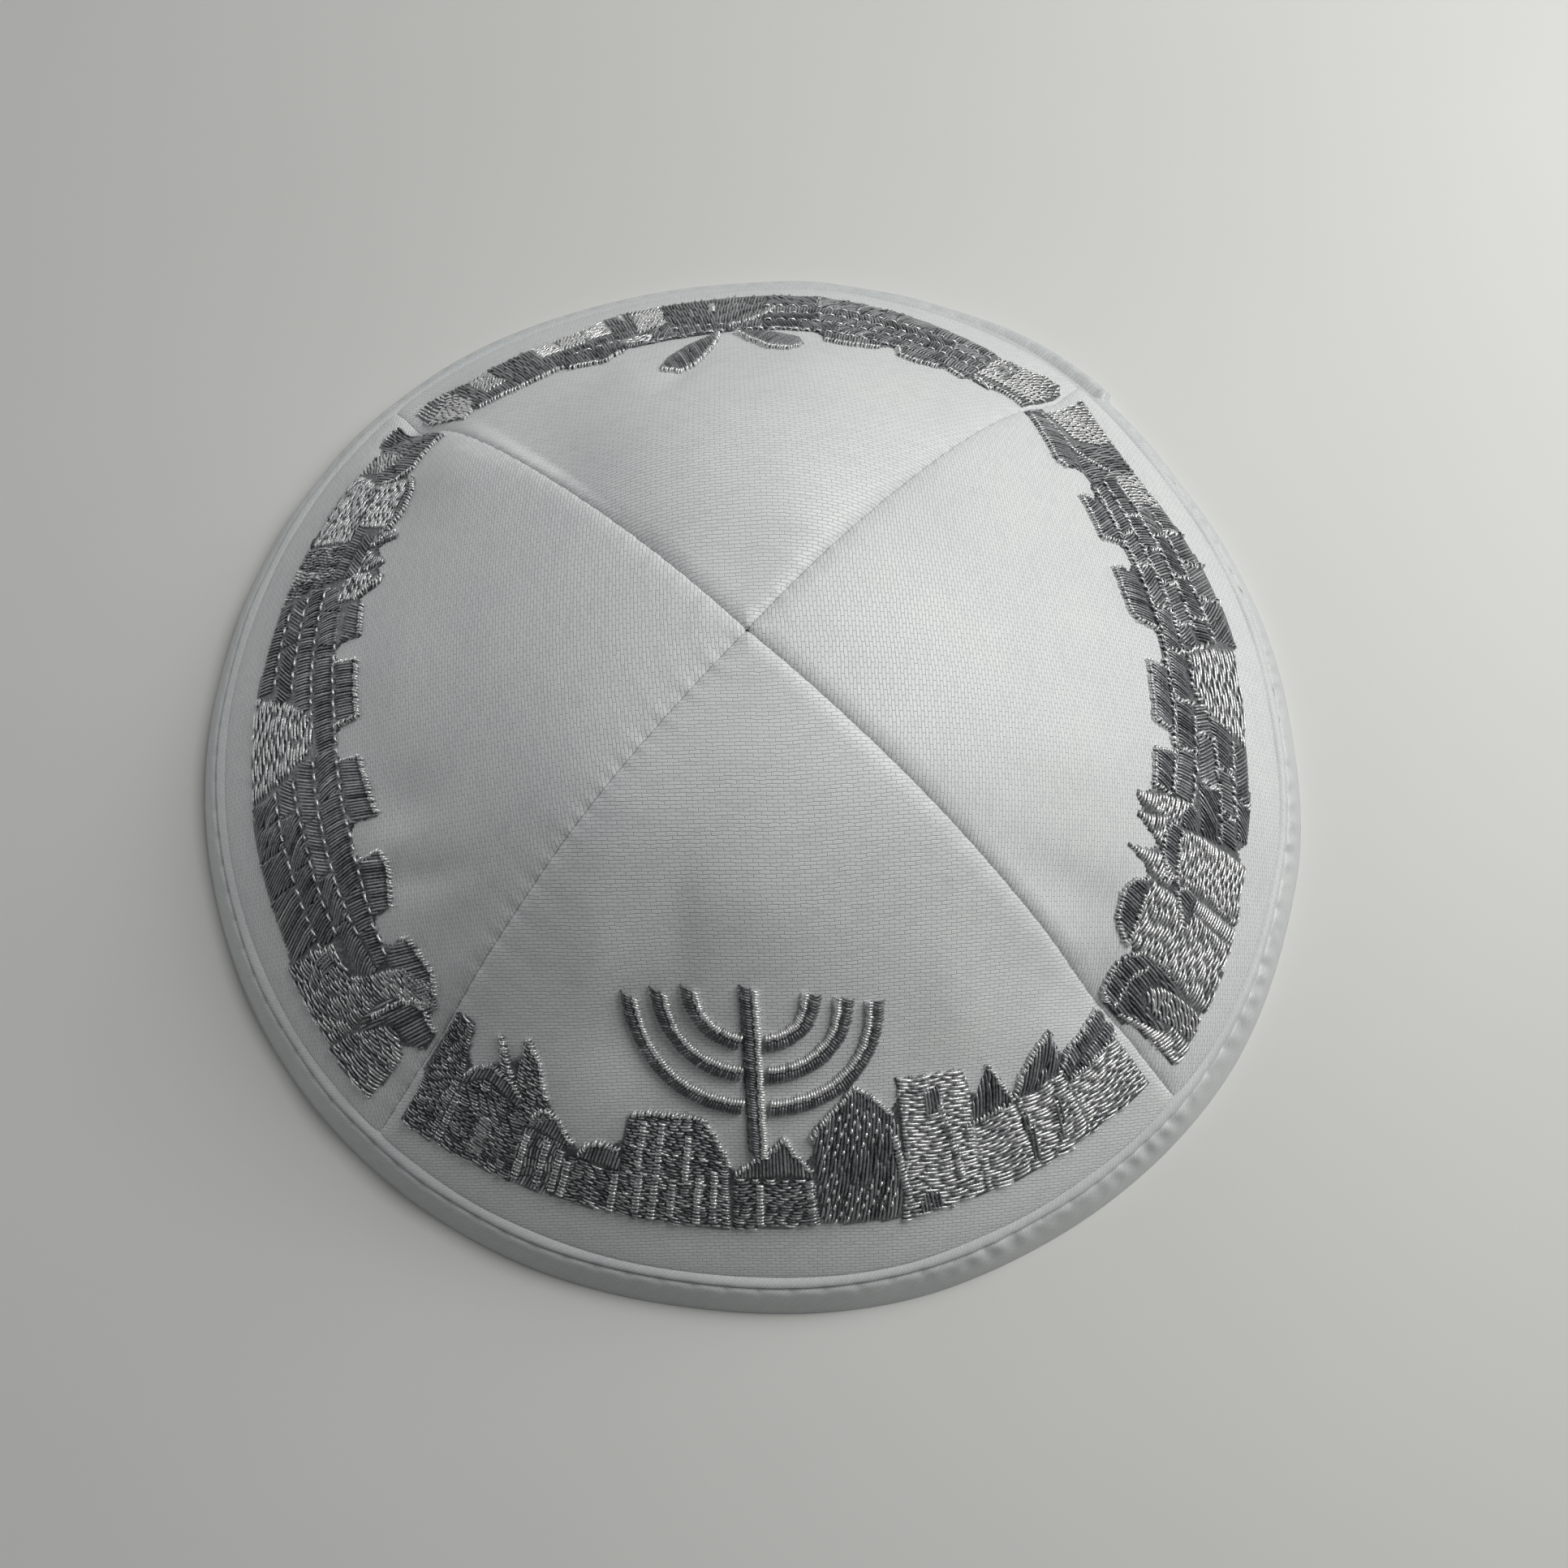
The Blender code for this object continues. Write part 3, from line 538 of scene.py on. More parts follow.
def puckers(azimuth, slant):
    # how far the stitches and the tape's curve make it rise and fall, in mm
    arc = np.radians(azimuth) * crown["rimRadius"] / mm
    beat = np.abs(np.sin(math.pi * arc / stitch["pitch"]))
    up = slant - (binding["width"] - stitch["line"])
    pull = -pucker["pull"] * (1.0 - beat) ** pucker["sharpness"]
    scallop = pull * hump(up - pucker["pullAt"], pucker["pullReach"])
    scallop += pucker["swell"] * beat * hump(up - pucker["swellAt"], pucker["swellReach"])
    facing = ease(np.cos(np.radians(azimuth - pucker["creaseFacing"])), *pucker["creaseFade"])
    stray, strayLength = pucker["creaseStray"]
    stray = stray * np.sin(arc / strayLength) + pucker["creaseSlant"] * slant
    crease = np.sin(2.0 * math.pi * arc / pucker["creasePitch"] + stray)
    depth, length, shift = pucker["creaseBeat"]
    crease = crease * (1.0 - depth + depth * np.sin(arc / length + shift))
    crease = pucker["crease"] * crease * hump(up - pucker["creaseAt"], pucker["creaseReach"])
    stray, strayLength = pucker["waveStray"]
    wave = np.sin(arc / pucker["waveLength"] + stray * np.sin(arc / strayLength))
    return scallop + crease * facing + pucker["wave"] * wave * ease(slant, *pucker["waveFade"])


def lapRise(azimuth, slant):
    # how far the tape stands up over its own start and sinks along the stitch line beside it, in mm
    past = (azimuth - lap["start"]) % 360.0
    fromMiddle = np.clip(np.abs(slant - lap["middle"]) / lap["halfWidth"], 0.0, 1.0)
    rounding = lap["halfWidth"] * (1.0 - np.sqrt(1.0 - fromMiddle ** 2))
    arc = np.radians(past) * crown["rimRadius"] / mm
    pad = smooth((arc - rounding) / lap["slope"])
    pad = pad * ease(slant, *lap["footFade"]) * ease(slant, *lap["topFade"])
    start, length = lap["valleyFrom"]
    valley = smooth((arc - start) / length) * hump(slant - lap["valleyAt"], lap["valleySpread"])
    return (lap["rise"] * pad - lap["valley"] * valley) * (1.0 - smooth(past / lap["turn"]))


def onRim(azimuth, slant, proud):
    along = alongAt(slant)
    return crownPoint(azimuth, along) + (proud * mm)[..., None] * crownNormal(azimuth, along)


def bindingTape():
    # a hair past the lap's start, so that no row stands on the step itself
    azimuth = lap["start"] + 0.01 + np.arange(rim["steps"]) * 360.0 / rim["steps"]
    columns = []

    def addRow(slant, proud, floor):
        row = onRim(azimuth, slant + 0.0 * azimuth, proud + 0.0 * azimuth)
        row[:, 2] = np.maximum(row[:, 2], floor * mm)
        columns.append(row)

    fadeStart, fadeLength = pucker["footFade"]
    for index, (slant, proud) in enumerate(rim["outer"]):
        here = slant + 0.0 * azimuth
        lift = lapRise(azimuth, here)
        # the first rows lie against the cloth and don't pucker
        free = (index > rim["ridgeRows"]) * smooth((slant - fadeStart) / fadeLength)
        addRow(slant, proud + (lift + puckers(azimuth, here) * free), 0.0)
    rimEdge = ringPoint(azimuth) - outlineMiddle
    inward = -rimEdge / np.linalg.norm(rimEdge, axis=1, keepdims=True)
    up = np.array([0.0, 0.0, 1.0])
    for inside, high in rim["foot"]:
        columns.append(rimEdge + inside * mm * inward + high * mm * up)
    back = -(crown["wall"] / mm + binding["gap"])
    for slant, depth in rim["inside"]:
        addRow(slant, back - depth, rim["slotFloor"])
    for slant, proud in ((rim["slotTurn"], back), (rim["slotFoot"], back),
                         (rim["slotFoot"], binding["gap"]), (rim["slotTop"], binding["gap"])):
        addRow(slant, proud, rim["slotFloor"])
    points = np.stack(columns, 1)
    around, across = points.shape[:2]
    length = np.radians(azimuth) * crown["rimRadius"] / mm
    width = np.linalg.norm(np.diff(points[0], axis=0), axis=1)
    width = np.concatenate([[0.0], np.cumsum(width)]) / mm
    flat = np.stack(np.broadcast_arrays(length[:, None], width[None, :]), -1).reshape(-1, 2)
    faces = []
    for step in range(around):
        ahead = (step + 1) % around
        for index in range(across):
            other = (index + 1) % across
            faces.append((step * across + index, step * across + other,
                          ahead * across + other, ahead * across + index))
    # white sewing thread along the stitch line, a stitch between each two holes
    count = round(2.0 * math.pi * crown["rimRadius"] / mm / stitch["pitch"])
    share = np.linspace(*stitch["shows"], knots)[None, :]
    turn = (np.arange(count)[:, None] + share) * 360.0 / count
    line = binding["width"] - stitch["line"] + 0.0 * turn
    high = stitch["lift"] + stitch["rise"] * np.sin(math.pi * share)
    high = high + lapRise(turn, line) + puckers(turn, line)
    spine = onRim(turn, line, high)
    sewn, sewnFaces = tubes(spine, crownNormal(turn, alongAt(line)), stitch["width"])
    marks = [0] * len(faces) + [1] * len(sewnFaces)
    faces += [tuple(v + around * across for v in face) for face in sewnFaces]
    return addPiece("satin_binding", np.concatenate([points.reshape(-1, 3), sewn]), faces,
                    [tape, cotton], "rim_binding",
                    uv=np.concatenate([flat, np.zeros((len(sewn), 2))]), turnOut=True, marks=marks)


bindingPiece = bindingTape()
print("binding folded and sewn")


# the embroidery: every stitch is a short arched tube of thread, laid on the cloth
stitchKinds = {
    # mm between rows, longest stitch, thread width, how high it lies and how far it arches, then its
    # tone, how much that varies, how many in a hundred get a painted glint, how strongly columns show,
    # gap at its ends
    "dark": {"pitch": 0.46, "longest": 5.6, "width": 0.38, "lift": 0.18, "rise": 0.12,
             "tone": 0.17, "spread": 0.07, "glints": 1, "columns": 0.0, "gap": 0.0},
    "grey": {"pitch": 0.44, "longest": 1.6, "width": 0.33, "lift": 0.17, "rise": 0.12,
             "tone": 0.24, "spread": 0.09, "glints": 19, "columns": 0.16, "gap": 0.08},
    "light": {"pitch": 0.54, "longest": 2.3, "width": 0.41, "lift": 0.20, "rise": 0.07,
              "tone": 0.80, "spread": 0.22, "glints": 26, "columns": 0.20, "gap": -0.06},
    "rows": {"pitch": 0.70, "longest": 3.4, "width": 0.43, "lift": 0.22, "rise": 0.05,
             "tone": 0.84, "spread": 0.12, "glints": 10, "columns": 0.0, "gap": -0.08},
}
# how a filled shape's rows are sewn, lengths in mm: a row strays and waves a little, its ends reach past
# the outline by so much, and it is cut to the longest stitch, each cut shifted by shares of it
sewing = {
    "firstRow": 0.4, "stray": 0.04, "rowTone": 0.8, "ends": (-0.06, 0.12), "shortestRow": 0.35,
    "splitOver": 1.3, "firstCut": 0.25, "nextRowCut": 0.5, "cutStray": 0.3, "lastCut": 0.3,
    "cutShift": 0.2, "shortest": 0.3, "fullRise": 1.2, "glint": (0.3, 0.6), "endTone": 0.06,
    "wave": 0.20, "waveLength": 6.5, "waveDrift": 0.25, "columns": (2.6, 1.8, 0.45),
}
# bright borders, the wall's mortar, its running stitches and the dome's speckles: lengths in mm, lean in
# degrees, vary being the shortest and the longest as shares
beads = {"pitch": 0.52, "length": 0.90, "width": 0.31, "lift": 0.27, "rise": 0.22, "tone": 1.0,
         "spread": 0.25, "lean": 62, "stray": 0.14, "vary": (0.7, 1.2)}
mortar = {"pitch": 0.66, "length": 1.35, "width": 0.38, "lift": 0.27, "rise": 0.20, "tone": 0.80,
          "spread": 0.45, "lean": 50, "stray": 0.30, "vary": (0.7, 1.2)}
runs = {"length": 1.3, "gap": 0.6, "width": 0.36, "lift": 0.36, "rise": 0.02, "tone": 1.0,
        "spread": 0.22, "stray": 0.12, "vary": (0.6, 1.25)}
speckles = {"pitch": 1.2, "step": 1.35, "length": 0.68, "width": 0.36, "lift": 0.30, "rise": 0.20,
            "tone": 1.0, "spread": 0.15, "stray": 0.15, "climb": 0.2, "lean": 60}


def onChart(line):
    # a chart's places and heights, both as mm
    return np.array(line, float) * [chartWidth, 1.0]


def crossings(outline, across, level, way):
    # where a row at this level meets the outline, as lengths along the row
    side = outline @ across - level
    ahead = np.roll(side, -1)
    cut = (side < 0) != (ahead < 0)
    share = side[cut] / (side[cut] - ahead[cut])
    points = outline[cut] + share[:, None] * (np.roll(outline, -1, 0)[cut] - outline[cut])
    return np.sort(points @ way)


def rowCuts(begin, end, row, longest):
    # neighbouring rows are cut half a stitch apart, as a fill stitch is
    cuts = [begin]
    if end - begin > sewing["splitOver"] * longest:
        shift = sewing["firstCut"] + sewing["nextRowCut"] * (row % 2)
        stray = rng.uniform(-sewing["cutStray"], sewing["cutStray"])
        inner = np.arange(begin + longest * (shift + stray), end - sewing["lastCut"] * longest, longest)
        cuts += list(inner + rng.uniform(-sewing["cutShift"], sewing["cutShift"], len(inner)) * longest)
    return cuts + [end]


def fill(stitches, kind, angle, outline, tone=None):
    look = stitchKinds[kind]
    outline = onChart(outline)
    turn = math.radians(angle)
    way = np.array([math.cos(turn), math.sin(turn)])
    across = np.array([-math.sin(turn), math.cos(turn)])
    levels = outline @ across
    levels = np.arange(levels.min() + sewing["firstRow"] * look["pitch"], levels.max(), look["pitch"])
    base = look["tone"] if tone is None else tone
    phase = rng.uniform(0.0, 6.3)
    wave = sewing["wave"] * (kind != "dark")
    often, bend, slow = sewing["columns"]

    def strayed():
        return level + rng.uniform(-sewing["stray"], sewing["stray"])

    def onRow(at):
        bow = 2.0 * math.pi * at / sewing["waveLength"] + phase + sewing["waveDrift"] * level
        return way * at + across * (strayed() + wave * math.sin(bow))

    for row, level in enumerate(levels):
        level = strayed()
        ends = crossings(outline, across, level, way)
        rowTone = rng.uniform(-sewing["rowTone"], sewing["rowTone"]) * look["spread"]
        for begin, end in zip(ends[::2], ends[1::2]):
            begin, end = begin - rng.uniform(*sewing["ends"]), end + rng.uniform(*sewing["ends"])
            if end - begin < sewing["shortestRow"]:
                continue
            cuts = rowCuts(begin, end, row, look["longest"])
            for a, b in zip(cuts, cuts[1:]):
                if b - a < sewing["shortest"]:
                    continue
                a, b = a + look["gap"] / 2, b - look["gap"] / 2
                p, q = onRow(a), onRow(b)
                shade = base + rowTone + rng.normal(0.0, look["spread"])
                middle = 0.5 * (p[0] + q[0])
                shade += look["columns"] * math.sin(often * middle + phase + bend * math.sin(slow * middle))
                # a painted glint: now and then a stitch's tone is made lighter
                if rng.uniform(0.0, 100.0) < look["glints"]:
                    shade += rng.uniform(*sewing["glint"])
                rise = look["rise"] * min(1.0, (b - a) / sewing["fullRise"])
                stitches.append((*p, *q, look["width"], look["lift"], rise,
                                 shade, shade + rng.normal(0.0, sewing["endTone"])))


def walk(line, pitch):
    line = onChart(line)
    lengths = np.linalg.norm(np.diff(line, axis=0), axis=1)
    total = np.concatenate([[0.0], np.cumsum(lengths)])
    # a third of a pitch in, so that two lines that meet don't put their stitches on one another
    for at in np.arange(0.3 * pitch, total[-1], pitch):
        part = min(np.searchsorted(total, at, side="right") - 1, len(lengths) - 1)
        way = (line[part + 1] - line[part]) / lengths[part]
        yield line[part] + way * (at - total[part]), way


def layStitch(stitches, start, end, look, shade):
    stitches.append((*start, *end, look["width"], look["lift"], look["rise"], shade, shade))


def edge(stitches, line, look=beads):
    # a border of short slanting stitches that catch the light
    for spot, way in walk(line, look["pitch"]):
        turn = math.radians(look["lean"] + rng.uniform(-90.0, 90.0) * look["stray"])
        side = np.array([-way[1], way[0]])
        half = (way * math.cos(turn) + side * math.sin(turn)) * 0.5 * look["length"]
        half = half * rng.uniform(*look["vary"])
        shade = look["tone"] + rng.normal(0.0, look["spread"])
        spot = spot + rng.uniform(-1.0, 1.0, 2) * look["stray"]
        layStitch(stitches, spot - half, spot + half, look, shade)


def runLine(stitches, line):
    # running stitches end to end, as the mortar between the wall's courses
    for spot, way in walk(line, runs["length"] + runs["gap"]):
        half = way * 0.5 * runs["length"] * rng.uniform(*runs["vary"])
        side = np.array([-way[1], way[0]]) * rng.uniform(-runs["stray"], runs["stray"])
        shade = runs["tone"] + rng.normal(0.0, runs["spread"])
        layStitch(stitches, spot - half + side, spot + half + side, runs, shade)


def insideOf(outline, points):
    inside = np.zeros(len(points), bool)
    ahead = np.roll(outline, -1, 0)
    for (x0, y0), (x1, y1) in zip(outline, ahead):
        if y0 == y1:
            continue
        spans = (y0 <= points[:, 1]) != (y1 <= points[:, 1])
        inside ^= spans & (points[:, 0] < x0 + (points[:, 1] - y0) * (x1 - x0) / (y1 - y0))
    return inside


def dots(stitches, outline):
    # short slanting stitches in rows that climb a little, as the dome's tiles
    outline = onChart(outline)
    low, high = outline.min(0), outline.max(0)
    spots = []
    for row, y in enumerate(np.arange(low[1], high[1], speckles["pitch"])):
        shift = 0.5 * speckles["step"] * (row % 2)
        xs = np.arange(low[0] + shift, high[0], speckles["step"])
        spots += [(x, y + speckles["climb"] * (x - low[0])) for x in xs]
    spots = np.array(spots)
    spots = spots[insideOf(outline, spots)]
    spots = spots + rng.uniform(-speckles["stray"], speckles["stray"], spots.shape)
    turn = math.radians(speckles["lean"])
    half = 0.5 * speckles["length"] * np.array([math.cos(turn), math.sin(turn)])
    for spot in spots:
        shade = speckles["tone"] + rng.normal(0.0, speckles["spread"])
        layStitch(stitches, spot - half, spot + half, speckles, shade)


# a wall's bricks, each sewn in a direction of its own, in degrees, and a little lighter or darker
bricks = {"directions": (90, 58, 104, 76, 124, 88, 66, 110), "tone": 0.17, "spread": 0.09}


def course(stitches, outlines, breaks, low, high, darkFillPaintedShading, beaded):
    # a course of bricks between two lines of (place, height)
    low, high = np.array(low, float), np.array(high, float)
    for index, (start, end) in enumerate(zip(breaks, breaks[1:])):
        foot = [(p, np.interp(p, low[:, 0], low[:, 1])) for p in (start, end)]
        top = [(p, np.interp(p, high[:, 0], high[:, 1])) for p in (end, start)]
        angle = bricks["directions"][(index * 3 + int(high[0, 1])) % len(bricks["directions"])]
        # a brick's tone differs at random, plus its gore's painted light and shade
        tone = bricks["tone"] + darkFillPaintedShading + bricks["spread"] * rng.uniform(-1.0, 1.0)
        fill(stitches, "dark", angle, foot + top, tone)
        outlines.append(foot + top)
        if beaded and index:
            edge(stitches, [foot[0], top[1]], mortar)


# each gore's picture, charted and sewn in the order given. A fill is (kind, angle in degrees,
# outline). An outline, an edge, a run and a patch of dots are lists of (place, height), place going from
# -1 to 1 between the gore's seams and height in mm up from the binding. A column is (place, low, high)
# and a course (breaks, foot, top). drop is how far down the whole picture sits, in mm, the two numbers
# after it are what its light and its dark fills gain in tone, painted light and shade set gore by gore
# for how the light falls on that side of the cap, and beaded mortar is a border, not a run
frontPicture = {
    "drop": 0.0, "shine": 0.12, "darkFillPaintedShading": 0.05, "beaded": False,
    "fills": [
        ("grey", 0, [(-.99, 24.2), (-.92, 24.4), (-.896, 20), (-.876, 17), (-.875, 4.8), (-.965, 4.3)]),
        ("grey", 0, [(-.875, 5), (-.872, 15.4), (-.845, 17.2), (-.81, 18.3), (-.75, 17.6), (-.70, 16.8),
                     (-.67, 15.4), (-.66, 6)]),
        ("light", 0, [(-.79, 7), (-.79, 13.2), (-.75, 13.2), (-.75, 7)]),
        ("dark", 82, [(-.876, 16.3), (-.85, 19.4), (-.81, 20.8), (-.75, 20.1), (-.705, 18.9), (-.70, 17),
                      (-.75, 17.8), (-.81, 18.4), (-.845, 17.3), (-.868, 15.5)]),
        ("grey", 0, [(-.838, 25.0), (-.822, 25.6), (-.735, 20.1), (-.785, 20.6)]),
        ("grey", -10, [(-.757, 26.6), (-.742, 27.2), (-.70, 25), (-.65, 20.6), (-.60, 18), (-.655, 15),
                       (-.70, 15), (-.715, 18), (-.74, 21.5)]),
        ("dark", 80, [(-.665, 15.2), (-.655, 17.2), (-.63, 18.8), (-.59, 18.2), (-.535, 15.4),
                      (-.55, 14.8)]),
        ("grey", 90, [(-.67, 6), (-.67, 15), (-.545, 14.8), (-.54, 6.4)]),
        ("dark", 84, [(-.518, 13.6), (-.50, 15.8), (-.46, 17), (-.42, 16.6), (-.398, 14.8),
                      (-.402, 13.4)]),
        ("grey", 0, [(-.54, 6.5), (-.54, 13.5), (-.40, 13.4), (-.40, 6.9)]),
        ("grey", 0, [(-.406, 6.9), (-.406, 21.9), (-.35, 23.1), (-.245, 23.6), (-.193, 23.4),
                     (-.158, 20.8), (-.13, 18.4), (-.122, 16.5), (-.115, 7.2)]),
        ("dark", 90, [(-.112, 15.2), (-.109, 15.9), (-.06, 17.8), (0, 20), (.024, 21.3), (.05, 19),
                      (.09, 16.1), (.09, 15.2)]),
        ("grey", 0, [(-.112, 7.4), (-.112, 14.9), (.095, 14.9), (.098, 7.9)]),
        ("dark", 76, [(.102, 8), (.10, 21.1), (.115, 22.4), (.237, 27.7), (.289, 25.4), (.323, 22.6),
                      (.335, 20.4), (.31, 13), (.285, 7)]),
        ("light", -14, [(.363, 27.3), (.553, 24.9), (.535, 18), (.51, 12), (.498, 6.2), (.29, 6.6),
                        (.318, 13), (.342, 20)]),
        ("dark", 70, [(.50, 16.9), (.56, 20.5), (.624, 23.6), (.64, 20), (.648, 16.9)]),
        ("light", -8, [(.50, 6), (.51, 16.2), (.645, 16.6), (.642, 5.5)]),
        ("dark", 52, [(.65, 16.6), (.69, 19), (.76, 21.4), (.83, 22.4), (.815, 19.5), (.79, 16.6),
                      (.72, 16.2)]),
        ("light", -10, [(.64, 5.4), (.65, 16.4), (.80, 16.4), (.785, 5.3)]),
        ("dark", 88, [(.79, 14.6), (.80, 16.5), (.84, 18.3), (.934, 19.1), (.985, 19.9), (.985, 17.4),
                      (.90, 16.8)]),
        ("dark", 92, [(.79, 14.4), (.90, 16.6), (.985, 17.2), (.985, 15.0), (.93, 14.4), (.86, 14.2)]),
        ("light", -8, [(.78, 5.3), (.79, 14), (.86, 14.3), (.975, 14.5), (.968, 5.2)]),
    ],
    "overlays": [
        ("dark", 80, [(.41, 20.4), (.43, 25), (.47, 24.4), (.45, 20)]),
        ("dark", 88, [(.335, 6.6), (.345, 9.6), (.37, 10.4), (.392, 9.4), (.39, 6.4)]),
        ("dark", 80, [(.625, 6), (.65, 14.3), (.67, 14.3), (.645, 6)]),
        ("dark", 80, [(.708, 7), (.74, 14), (.757, 14), (.728, 7)]),
    ],
    "edges": [
        [(-.83, 25.4), (-.75, 20.8)], [(-.752, 27.2), (-.694, 25), (-.636, 20)],
        [(-.875, 17), (-.85, 19.5), (-.81, 20.9), (-.75, 20.2), (-.71, 19)],
        [(-.66, 17), (-.63, 18.8), (-.59, 18.2), (-.54, 15.6)],
        [(-.515, 14.2), (-.50, 15.9), (-.46, 17.1), (-.41, 16.7)],
        [(-.40, 22.4), (-.35, 23.2), (-.245, 23.7), (-.193, 23.5), (-.158, 20.9), (-.128, 18),
         (-.122, 16.6)],
        [(-.107, 16), (-.06, 17.9), (0, 20.1), (.024, 21.4)], [(.024, 21.4), (.05, 19.2), (.087, 16.3)],
        [(.10, 21.2), (.115, 22.5), (.237, 27.8), (.289, 25.5), (.325, 22.6)],
        [(.625, 23.6), (.632, 20), (.646, 17)], [(.655, 17.4), (.70, 19.7), (.76, 21.5), (.828, 22.6)],
        [(.50, 17), (.56, 16.9), (.645, 16.9)], [(.80, 16.8), (.84, 18.4), (.934, 19.3), (.985, 20)],
        [(.80, 14.6), (.86, 14.4), (.93, 14.6), (.985, 15.1)],
    ],
    "columns": [
        (-.655, 6.6, 14), (-.60, 7, 14.5), (-.56, 7, 13.8), (-.535, 7, 13), (-.41, 7.3, 13),
        (-.31, 7.5, 22), (-.20, 7.5, 15), (-.265, 8, 13.5), (-.35, 8, 14), (-.045, 8, 14.4),
        (.08, 8.3, 14.6), (.315, 11, 19.5), (.455, 10, 22), (-.865, 6, 14), (-.36, 15, 22), (-.16, 8, 16),
        (-.235, 14, 21),
    ],
    "dots": [
        [(.11, 17), (.115, 22), (.21, 25.5), (.30, 23.5), (.325, 20), (.22, 18.6)],
        [(.11, 8.2), (.108, 17), (.15, 16), (.16, 13.2), (.29, 13.8), (.28, 8)],
    ],
    "runs": [
        [(-.105, 15.1), (.09, 15.1)], [(-.39, 18), (-.15, 17.6)], [(-.39, 14), (-.13, 13.8)],
        [(-.39, 10.4), (-.13, 10.2)],
    ],
    "courses": [],
}
